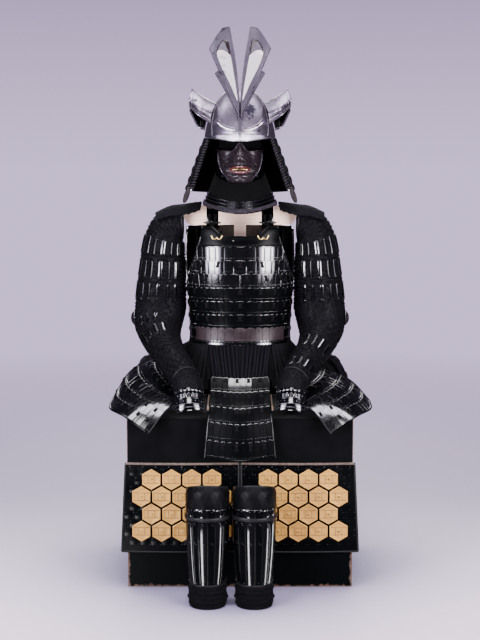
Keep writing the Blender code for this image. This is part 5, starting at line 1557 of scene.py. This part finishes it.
def build_hands():
    """Over the wrist a cuff of fine mail, then fluted plates over the back of the hand."""
    table = np.array(HAND)
    a = np.radians(np.linspace(-84, 84, 97))
    for side, sign in SIDES:
        run = unit(np.array([-0.08 * sign, -0.62, -0.78]))
        across = np.array([sign, -0.12, -0.10])
        across = unit(across - run * (across @ run))
        up = unit(np.cross(run, across)) * sign
        ring = np.array([tuple(p) for p in sleeve_rings(sign, 14)[-1]])
        end = ring.mean(axis=0)
        heading = unit(np.cross(ring[0] - end, ring[3] - end))
        heading = heading * np.sign(heading @ run)
        rise = unit(up - heading * (up @ heading))
        aside = np.cross(rise, heading)
        aside = aside * np.sign(aside @ across)
        start = end + np.array([-0.006 * sign, -0.004, 0.0])

        def line(reach, extra):
            w, h = (np.interp(reach, table[:, 0], table[:, k]) for k in (1, 2))
            at = start + run * reach + across * (np.sin(a) * (w + extra))[:, None]
            at = at + up * (np.cos(a) * (h + extra))[:, None]
            if reach < 0.018:  # the first ring lies in the plane of the sleeve's end
                first = end + heading * GAP + aside * (np.sin(a) * (table[0, 1] + extra))[:, None]
                first = first + rise * (np.cos(a) * (table[0, 2] + extra))[:, None]
                at = first + (line(0.018, extra) - first) * (reach / 0.018)
            return at

        def face(reaches, extra):
            extra = np.broadcast_to(extra, (len(reaches), len(a)))
            grid = np.array([line(r, e) for r, e in zip(reaches, extra)])
            return grid if sign > 0 else grid[:, ::-1]

        cuff = np.linspace(0.0, 0.0435, 9)
        m = Maker()
        m.shell(face(cuff, -0.0004), face(cuff, -0.0024), 0)
        patch = Patch(face(cuff, 0.0)[:, ::4])
        m.tube(face([0.0006], 0.0)[0], 0.0022, 0, 8)
        cuff_cloth = m.piece("wrist_cloth_" + side, [MAIL_CLOTH])
        m = Maker()
        mail(m, patch, 0.02, 0.99, 0.0056, lambda v, u: 0 * v - 0.0004)
        m.piece("wrist_mail_" + side, [RING_IRON], sharp=60)
        m = Maker()
        reach = np.array([0.0440, 0.0446, 0.0452, 0.047, 0.050, 0.053, 0.056, 0.059, 0.062, 0.066, 0.070,
                          0.0722, 0.0730])
        rib = np.abs(np.cos(a * 10.5)) ** 0.8
        zone = np.exp(-((reach - 0.056) / 0.0085) ** 4)[:, None]
        ribs = 0.0026 * zone * rib[None] * (np.cos(a)[None] > 0.30) + 0.0006
        m.shell(face(reach, ribs), face(reach, -PLATE), 0)
        reach = np.array([0.0732, 0.0738, 0.080, 0.0868, 0.0874, 0.0880, 0.0975, 0.0984, 0.0990, 0.1072,
            0.1080])
        step = np.array([0.0004, 0.0012, 0.0010, 0.0008, 0.0000, 0.0016, 0.0012, 0.0008, 0.0018, 0.0014,
            0.0004])[:, None]
        m.shell(face(reach, step), face(reach, -PLATE), 0)
        for r, extra, radius, slot in (
            (0.0450, 0.0012, 0.0020, 0), (0.0724, 0.0010, 0.0016, 0), (0.0880, 0.0010, 0.0011, 1),
            (0.0988, 0.0010, 0.0011, 1), (0.1076, 0.0, 0.0018, 0),
        ):
            m.tube(face([r], extra)[0], radius, slot, 8)
        for column in (0, -1):
            rows = np.linspace(0.0445, 0.1076, 24)
            m.tube(face(rows, 0.0)[:, column], 0.0018, 0, 8)
        spots = [(0.080, d) for d in (-62, -44, -26, -9, 9, 26, 44, 62)]
        spots += [(0.0495, -60), (0.0495, 60), (0.067, -30), (0.067, 0), (0.067, 30)]
        points = np.array([line(r, 0.0012)[int(round((d + 84) / 168 * 96))] for r, d in spots])
        normal = unit(points - np.array([start + run * r for r, _ in spots]))
        sx = unit(np.cross(normal, run))
        m.studs(points, sx, np.cross(normal, sx), normal, 0.0020, 0.0014, 1)
        m.piece("hand_plate_" + side, [LACQUER, STUD], ["hand_guard_" + side])

        s = np.linspace(-1, 1, 15)  # the loop across the palm
        middle = start + run * 0.060
        loop = middle + across * (s * 0.0385)[:, None] - up * (0.012 * (1 - s**2))[:, None] + up * 0.004
        m = Maker()
        m.tube(loop, 0.0022, 0, 8)
        m.piece("hand_loop_" + side, [BRAID])


def build_wings():
    """Quilted wings over the shoulders, with bound and scalloped edges."""
    for side, sign in SIDES:
        grid = []
        for x, top, half in WING:
            line = []
            for s in spread(17):
                drop = 0.056 * (1 - math.sqrt(1 - (s * half / 0.064) ** 2))
                line.append(Vector((sign * x, 0.012 + s * half, top - drop)))
            grid.append(line if sign > 0 else line[::-1])
        patch = Patch(grid)
        v = np.linspace(0, 1, 46)[:, None]
        u = np.linspace(0, 1, 61)[None]
        a, b = v * 11, u * 9
        cell = np.abs(np.sin(np.pi * (a + b) / 2)) * np.abs(np.sin(np.pi * (a - b) / 2))
        edge = np.clip(np.minimum(np.minimum(v, 1 - v) * 14, np.minimum(u, 1 - u) * 12), 0, 1)
        puff = (0.0005 + 0.0016 * cell ** 0.5) * edge ** 0.5
        scallop = 0.0045 * np.abs(np.sin(np.pi * u * 5))
        outer = patch.at(v, u, puff)
        push = np.zeros_like(outer)
        ends = np.clip((v - 0.9) / 0.1, 0, 1) - np.clip((0.1 - v) / 0.1, 0, 1)
        push[..., 0] = sign * scallop * ends * 0.9
        outer = outer + push
        inner = patch.at(v, u, -0.0045) + push
        m = Maker()
        m.shell(outer, inner, 0)
        middle = (outer + inner) / 2
        rim = np.concatenate([middle[0], middle[1:, -1], middle[-1, -2::-1], middle[-2:0:-1, 0]])
        m.tube(rim, 0.0030 + 0.0012 * np.sin(np.arange(len(rim)) * 1.1), 1, 8, closed=True)
        finishes = [WING_CLOTH, BRAID]
        wing = m.piece("shoulder_wing_quilt_" + side, finishes, ["shoulder_wing_" + side],
            60)


EDGE_BLACK = leather("edge_black", (0.0024, 0.0024, 0.0030), (0.0075, 0.0070, 0.0080), 70, 0.5, 0.2)
WING_CLOTH = cloth("wing_cloth", (0.0018, 0.0018, 0.0025), (0.0075, 0.0070, 0.0100))
RING_IRON = metal("mail_iron", (0.0080, 0.0076, 0.0100), (0.0036, 0.0034, 0.0046), (0.0018, 0.0017, 0.0023),
    0.36, 30, 0.45, 0.0, 0.0, 0.08)
build_sleeves()
build_hands()
build_wings()


# Skirt panels

def tasset_patch(control):
    return Patch([[patch_point(control, v, u) for u in spread(25, 0, 1)] for v in spread(13, 0.0, 1.0)])


def suspension(m, first, last, control, slot, end):
    """The braids that a skirt panel hangs by, from the cuirass's lower rim, over their backing of black
    cloth.
    """
    spacing, width, n = 0.0105, 0.0074, 25
    rim = [trunk(first + (last - first) * u, CUIRASS_BOTTOM - 2 * GAP) for u in spread(n, 0, 1)]
    waist = [patch_point(control, end, u) for u in spread(n, 0, 1)]
    patch = Patch([[a.lerp(b, t) for a, b in zip(rim, waist)] for t in spread(5, 0, 1)])
    m.wall(patch, 6, 30, -0.0008, -0.0024, 3)
    for side in (0.0, 1.0):  # dark cloth that closes the gap to the next panel
        p, _, across, n = patch.frames(shares(6)[:, None], np.full((1, 4), side))
        reach = (np.linspace(-0.012, 0.014, 4) if side else np.linspace(-0.014, 0.012, 4))[None, :, None]
        m.shell(p + across * reach - n * 0.0034, p + across * reach - n * 0.0044, 3)
    count = max(4, int(patch.width / spacing))
    s = np.linspace(0.0, 1.0, 7)
    bow = np.sin(np.pi * s)
    for i in range(count):
        sway = 0.0016 * math.sin(i * 2.4) / patch.width
        cord_on(m, patch, s, (i + 0.5) / count + sway * bow, 0.0012 + 0.0012 * bow, width, slot, 0.5, 6)


def build_tasset(name, control, rim, edges, scales, cord_slot=1, head=0.0035, proud=0.0034, shiny=None):
    """A laced panel; shiny names, for each row, the stretches of scales and the finish of each."""
    patch = tasset_patch(control)
    swell = 0.0001
    m = Maker()
    suspension(m, rim[0], rim[1], control, cord_slot, edges[0] + 0.02)
    m.wall(patch, np.linspace(edges[0], 1, 14), 50, -0.0006, -PLATE)
    count = len(edges) - 1
    for k in range(count):
        v1 = edges[k + 1] + (0.0 if k == count - 1 else LAME_LAP / patch.height)
        parts = [(a / scales, b / scales, slot, 0) for a, b, slot in shiny[k]] if shiny else [(0, 1, 0, 5)]
        for u0, u1, slot, edge in parts:
            some = round((u1 - u0) * scales)
            lame(m, patch, edges[k], min(v1, 1.0), some, head, proud, 0.0006, swell, slot, u0, u1, edge=edge)
        lower = edges[k + 1] - BEAD_DROP / patch.height
        beads(m, patch, lower, 0.0056, 0.0013, 0.0010, 2, out=0.0016 + swell * 0.5)
        places = [(i + 0.5) / scales for i in range(0, scales, 2)]
        knots(m, patch, edges[k] + 0.001, places, proud - 0.0004, 1, 0.015)
    m.tube(patch.line(0.994, (0, 1), 0.0008), 0.0025, 5, 8)
    for end in (0.0, 1.0):
        m.tube(patch.line((edges[0], 1), end, 0.0008, 40), 0.0024, 5, 8)
    m.piece(name + "_lames", [LACQUER, BRAID, DOTS, BLACK_CLOTH, PURPLE, DULL, MATT], [name])


def mirrored(control):
    return [[(-x, y, z) for x, y, z in reversed(row)] for row in control]


def build_skirt():
    five = [0.02, 0.22, 0.41, 0.61, 0.80, 1.0]
    build_tasset("tasset_right_front", RIGHT_FRONT_TASSET, (-84, -34), five, 16)
    build_tasset("tasset_left_front", LEFT_FRONT_TASSET, (34, 84), five, 14)
    four = [0.02, 0.25, 0.5, 0.75, 1.0]
    build_tasset("tasset_left_rear", LEFT_REAR_TASSET, (94, 138), four, 13)
    build_tasset("tasset_right_rear", mirrored(LEFT_REAR_TASSET), (-138, -94), four, 13)
    build_tasset("tasset_back", BACK_PANEL, (148, 212), four, 12)
    rows = [0.19, 0.36, 0.53, 0.71, 0.86, 1.0]
    shiny = [[(0, 3, 6), (3, 7, 0), (7, 10, 6)], [(0, 2, 0), (2, 7, 6), (7, 10, 0)]] + [[(0, 10, 6)]] * 3
    build_tasset("tasset_front", FRONT_PANEL, (-33, 33), rows, 10, 4, 0.0040, 0.0050, shiny)


# Thigh guard

PANEL_TOP, PANEL_BOTTOM, PANEL_INNER = 0.374, 0.112, 0.004
PANEL_OUTER_TOP, PANEL_OUTER_BOTTOM = 0.334, 0.346
PANEL_FACE = -CHEST_DEPTH / 2 - GAP - CLOTH
OUTWARD = (1, 0, 0), (0, 0, 1), (0, -1, 0)  # the axes of a stud on the panels


def panel_far(v):
    """The outer edge of a thigh panel, v of the way down."""
    return PANEL_OUTER_TOP + (PANEL_OUTER_BOTTOM - PANEL_OUTER_TOP) * v


def panel_point(sign, u, v, out=0.0):
    x = PANEL_INNER + (panel_far(v) - PANEL_INNER) * u
    bow = 0.008 * math.sin(math.pi * u) + 0.010 * v
    return Vector((sign * x, PANEL_FACE - 0.0045 - bow - out, PANEL_TOP + (PANEL_BOTTOM - PANEL_TOP) * v))


def hexagon(radius):
    turns = [math.radians(60 * k + 30) for k in range(6)]
    return [(radius * math.cos(t), radius * math.sin(t)) for t in turns]


def build_apron():
    """The cloth of the thigh guard, over the lid and down the front, with soft folds from the ties."""
    face = -CHEST_DEPTH / 2
    lift = CHEST_HEIGHT + GAP + 0.0022
    front = face - GAP - 0.0022
    profile = [(y, lift) for y in (-0.095, -0.13, -0.17, -0.195, face + 0.010)]
    profile += [(face + 0.004, lift - 0.0003), (face, lift - 0.0012)]
    profile += [(front, CHEST_HEIGHT - 0.003), (front, CHEST_HEIGHT - 0.014)]
    profile += [(front, z) for z in np.linspace(0.475, 0.372, 14)]
    xs = np.linspace(-0.328, 0.328, 150)
    outer = np.zeros((len(profile), len(xs), 3))
    for r, (y, z) in enumerate(profile):
        hang = max(0.0, (0.49 - z) / 0.12)
        for c, x in enumerate(xs):
            fold = 0.0030 * hang * (0.5 + 0.5 * math.sin(x * 62 + 1.4 * math.sin(x * 17)))
            fold = fold + 0.0010 * hang * math.sin(x * 151)
            top = 0.0011 * (math.sin(x * 90 + y * 60) * 0.5 + 0.5) if r < 5 else 0.0
            outer[r, c] = (x, y - max(0.0, fold), z + top)
    shift = np.zeros_like(outer)
    for r in range(len(profile)):
        t = min(1.0, max(0.0, (r - 3) / 4))
        shift[r, :] = (0, 0.0019 * t, -0.0019 * (1 - t))
    m = Maker()
    m.shell(outer, outer + shift, 0)
    apron = m.piece("thigh_guard_cloth", [BLACK_CLOTH], ["thigh_guard_apron"], 60)


def build_panels():
    """Each panel is a field of small lacquered plates, with gold hexagons in a plain honeycomb set on it."""
    for side, sign in SIDES:
        rows, columns = 21, 41
        outer = np.array([[tuple(panel_point(sign, u, v)) for u in spread(columns, 0, 1)]
                          for v in spread(rows, 0, 1)])[:, ::sign]
        m = Maker()
        m.shell(outer, outer + np.array([0, 0.0030, 0]), 0)
        # plates: brick rows with a narrow seam round each
        wide, tall = 0.0330, 0.0260
        spots = []
        for r in range(10):
            z = PANEL_TOP - 0.013 - tall * (r + 0.5) * 0.985
            if z < PANEL_BOTTOM + 0.012:
                continue
            v = (PANEL_TOP - z) / (PANEL_TOP - PANEL_BOTTOM)
            far = panel_far(v)
            for c in range(11):
                x = PANEL_INNER + 0.004 + wide * (c + 0.5 + 0.5 * (r % 2)) * 0.955
                if x > far - 0.017:
                    continue
                u = (x - PANEL_INNER) / (far - PANEL_INNER)
                spots.append((u, v))
        p = np.array([tuple(panel_point(sign, u, v, 0.0001)) for u, v in spots])
        m.copies(*plate_form(), p, (wide * 0.455, 0, 0), (0, 0, tall * 0.455), (0, -0.0016, 0), 0)
        corners = [(dx * wide * 0.36, -0.0006, dz * tall * 0.33) for dx in (-1, 1) for dz in (-1, 1)]
        corner = np.concatenate([p + np.array(c) for c in corners])
        m.studs(corner, *OUTWARD, 0.0010, 0.0012, 2)
        # binding: brown leather along the top, black round the rest
        top = [tuple(panel_point(sign, u, 0.006, 0.0016)) for u in spread(40, 0.0, 1.0)]
        m.tube(top, 0.0036, 3, 8, normal=(0, -1, 0), flat=0.7)
        edges = [[(u, 1.0) for u in spread(40, 0.0, 1.0)]]
        edges += [[(u, v) for v in spread(24, 0.0, 1.0)] for u in (0.0, 1.0)]
        for edge in edges:
            path = [tuple(panel_point(sign, u, v, -0.0012)) for u, v in edge]
            m.tube(path, 0.0030, 4, 8, normal=(0, -1, 0.1))
        studs = [tuple(panel_point(sign, u, 0.040, 0.0012)) for u in spread(9, 0.04, 0.96)]
        m.studs(studs, *OUTWARD, 0.0021, 0.0018, 2)
        finishes = [DULL, SATIN, STUD, EDGE_LEATHER, EDGE_BLACK]
        m.piece("thigh_panel_plates_" + side, finishes, ["thigh_panel_" + side])
        m = Maker()
        radius, pitch = 0.0305, 0.0590
        for r, count in enumerate((4, 5, 4, 5)):
            z = 0.327 - r * pitch * 0.866
            for c in range(count):
                x = 0.170 + (c - (count - 1) / 2) * pitch
                gold_tile(m, sign, x, z, radius)
        m.piece("thigh_gold_hexagons_" + side, [GOLD, GOLD_SEAM, GILT])


TILE_PROFILE = (
    (1.0, 0.0014), (1.0, 0.0034), (0.965, 0.0040), (0.90, 0.0040), (0.86, 0.0034), (0.55, 0.0036), (0.30,
        0.0038),
)


def gold_tile(m, sign, x, z, radius):
    """One gilt hexagon: a plate of three strips with sunk seams, studs at its corners and a low boss."""
    corners = np.array(hexagon(radius))
    rings = []
    for share, lift in TILE_PROFILE:
        ring = []
        for k in range(6):
            a, b = corners[k], corners[(k + 1) % 6]
            for j in range(6):
                q = (a + (b - a) * j / 6) * share
                ring.append(place_on_panel(sign, x + q[0], z + q[1], lift))
        rings.append(ring)
    outer = np.array(rings)
    m.grid(outer, 0, around=True, flip=sign > 0)
    centre = place_on_panel(sign, x, z, 0.0040)
    tip = np.array([[36, k, (k + 1) % 36] if sign > 0 else [36, (k + 1) % 36, k] for k in range(36)])
    m.add(np.concatenate([outer[-1], [centre]]), [tip[:, ::-1]], 0)
    for level in (-0.36, 0.36):  # seams across the plate
        half = radius * 0.80 * (1 - abs(level) * 0.18)
        path = [place_on_panel(sign, x + t * half, z + level * radius, 0.0038) for t in np.linspace(-1, 1, 7)]
        m.tube(path, 0.0007, 1, 5, normal=(0, -1, 0))
    for at in (-0.3, 0.32):
        path = [place_on_panel(sign, x + at * radius, z + t * radius * 0.36, 0.0038)
            for t in np.linspace(-1, 1, 5)]
        m.tube(path, 0.0006, 1, 5, normal=(0, -1, 0))
    dots = [place_on_panel(sign, x + q[0] * 0.74, z + q[1] * 0.74, 0.0036) for q in corners]
    m.studs(dots, (sign, 0, 0), (0, 0, 1), (0, -1, 0), 0.0012, 0.0012, 1)
    m.studs([centre], (sign, 0, 0), (0, 0, 1), (0, -1, 0), 0.0042, 0.0018, 2)


def place_on_panel(sign, x, z, out):
    """The place on a thigh panel with this x and z."""
    v = (PANEL_TOP - z) / (PANEL_TOP - PANEL_BOTTOM)
    return tuple(panel_point(sign, (x - PANEL_INNER) / (panel_far(v) - PANEL_INNER), v, out))


# Shin guards

def shin_point(table, centre, degrees, z):
    p = ring_point(table, 0.0, degrees, z, 0.92)
    return Vector((centre + p.x, SHIN_Y + p.y, z))


def shin_patch(centre):
    """The shin guard's face, its upper edge arched over the knee."""
    grid = []
    for z in np.concatenate([np.linspace(0.352, 0.318, 7), np.linspace(0.31, 0.0665, 22)]):
        arch = 0.030 * max(0.0, (z - 0.318) / 0.034)
        reach = spread(49, -128, 128)
        grid.append([shin_point(SHIN, centre, d, z - arch * (abs(d) / 128.0) ** 2) for d in reach])
    return Patch(grid)


SHIN_SPLINTS, BRIGHT_SPLINTS = 12, (3, 5, 7, 8)
SPLINT_ACROSS = np.array([0.03, 0.06, 0.10, 0.25, 0.5, 0.75, 0.90, 0.94, 0.97])
SPLINT_DOWN = np.array([0.0, 0.02, 0.06, 0.14, 0.3, 0.5, 0.7, 0.86, 0.95, 1.0])[:, None]
# height of each row of rivets, and how far they stand aside as a share of the round
RIVETS = (0.2825, 0.0), (0.2480, 0.0), (0.2440, 0.012), (0.1930, 0.0), (0.1890, 0.012), (0.0760, 0.0)


def shin_splint(m, patch, k, v0, v1, head):
    """One of the splints round a shin guard: nearly flat, with curved ends."""
    q, f = SPLINT_ACROSS, SPLINT_DOWN
    across = 0.97 * (1 - np.abs(2 * q - 1) ** 12) + 0.03 * (1 - np.abs(2 * q - 1) ** 2)
    curve = np.abs(2 * q - 1) ** 3 * head / patch.height
    v = v0 + (v1 - v0) * f + curve * (1 - f) ** 8 - 0.4 * curve * f ** 8
    u = (k + q) / SHIN_SPLINTS + 0 * f
    lift = 0.0006 + 0.0012 * across * (0.5 + 0.5 * np.minimum(1, np.minimum(f, 1 - f) * 12))
    m.shell(patch.at(v, u, lift), patch.at(v, u, 0.0001), 0 if k in BRIGHT_SPLINTS else 4)


def build_shins():
    for (side, _), centre in zip(SIDES, SHIN_X):
        patch = shin_patch(centre)
        columns = 73
        m = Maker()
        m.wall(patch, 24, columns, 0.0004, -PLATE, 1)
        # knee: leather over a quilted cap, with a turned edge
        knee = v_at(patch, 0.5, 0.2875)
        v, u = np.linspace(0, knee, 12)[:, None], shares(columns)[None]
        soft = 0.0026 * np.sin(np.pi * np.clip(v / knee, 0, 1)) ** 0.6
        soft = soft + 0.0005 * np.sin(u * 75) * np.sin(v * 190)
        m.wall(patch, v[:, 0], columns, 0.0004 + soft, 0.0001, 1)
        m.tube(patch.line(0.004, (0, 1), -0.0008, columns), 0.0028, 3, 8)
        m.tube(patch.line(v_at(patch, 0.5, 0.2870), (0, 1), 0.0026, columns), 0.0016, 0, 8)
        # the plate row and the tall splints below it
        for top, bottom, head in ((0.2865, 0.2630, 0.0016), (0.2545, 0.0672, 0.0030)):
            v0, v1 = v_at(patch, 0.5, top), v_at(patch, 0.5, bottom)
            for k in range(SHIN_SPLINTS):
                shin_splint(m, patch, k, v0, v1, head)
        spots = np.array([(v_at(patch, 0.5, z), (k + 0.5) / SHIN_SPLINTS + aside)
                          for z, aside in RIVETS for k in range(SHIN_SPLINTS)])
        p, down, across, n = patch.frames(spots[:, 0], spots[:, 1])
        m.studs(p + n * 0.0034, across, -down, n, 0.0014, 0.0012, 2)
        # the strap round the calf below the plate row
        strap = np.linspace(v_at(patch, 0.5, 0.2640), v_at(patch, 0.5, 0.2535), 5)
        m.wall(patch, strap, columns, 0.0036 + 0.0012 * np.sin(np.pi * shares(5))[:, None], 0.0002, 3)
        for end in (0.0, 1.0):
            m.tube(patch.line((0, 1), end, -0.0008), 0.0024, 3, 8)
        m.tube(patch.line(0.996, (0, 1), 0.0006, columns), 0.0026, 3, 8)
        finishes = [LACQUER, KNEE, STUD, EDGE_BLACK, DULL]
        m.piece("shin_splints_" + side, finishes, ["shin_guard_" + side])
        build_ankle_cuff(side, centre)


def build_ankle_cuff(side, centre):
    """The quilted cuff below a shin guard, with bound rims and rows of stitches."""
    heights = (0.066, 0.059, 0.052, 0.046, 0.040, 0.033, 0.026, 0.019, 0.012, 0.006, 0.0)
    patch = Patch([[shin_point(ANKLE, centre, d, z) for d in spread(61, -150, 150)] for z in heights])
    rows, columns = 33, 97
    v, u = shares(rows)[:, None], shares(columns)[None]
    wave = 0.0016 * np.sin(v * 31 + 1.3 * np.sin(u * 9)) + 0.0010 * np.sin(u * 66 + v * 5) * np.sin(v * 17)
    wave = wave * np.clip(np.minimum(v, 1 - v) * 12, 0, 1)
    m = Maker()
    m.wall(patch, rows, columns, wave, wave - 0.0028)
    for rim in (0.03, 0.97):
        m.tube(patch.line(rim, (0, 1), -0.0004, columns), 0.0018, 1, 6)
    for share in np.linspace(0.06, 0.94, 13):
        p, _, _, n = patch.frames(v[:, 0], np.full(rows, share))
        stitch = wave[:, int(share * (columns - 1))][:, None]
        m.tube(p + n * stitch + n * 0.0002, 0.0007, 1, 5)
    cuff = m.piece("ankle_cuff_quilt_" + side, [BLACK_CLOTH, BRAID], ["ankle_cuff_" + side],
        70)


GOLD_SEAM = lacquer("gold_seam", (0.075, 0.038, 0.014), (0.03, 0.015, 0.008), 0.5, 0.2, 0.66, 0.0)
KNEE = leather("knee_leather", (0.0014, 0.0016, 0.0020), (0.0036, 0.0038, 0.0044), 45, 0.40, 0.06)
build_skirt()
build_apron()
build_panels()
build_shins()
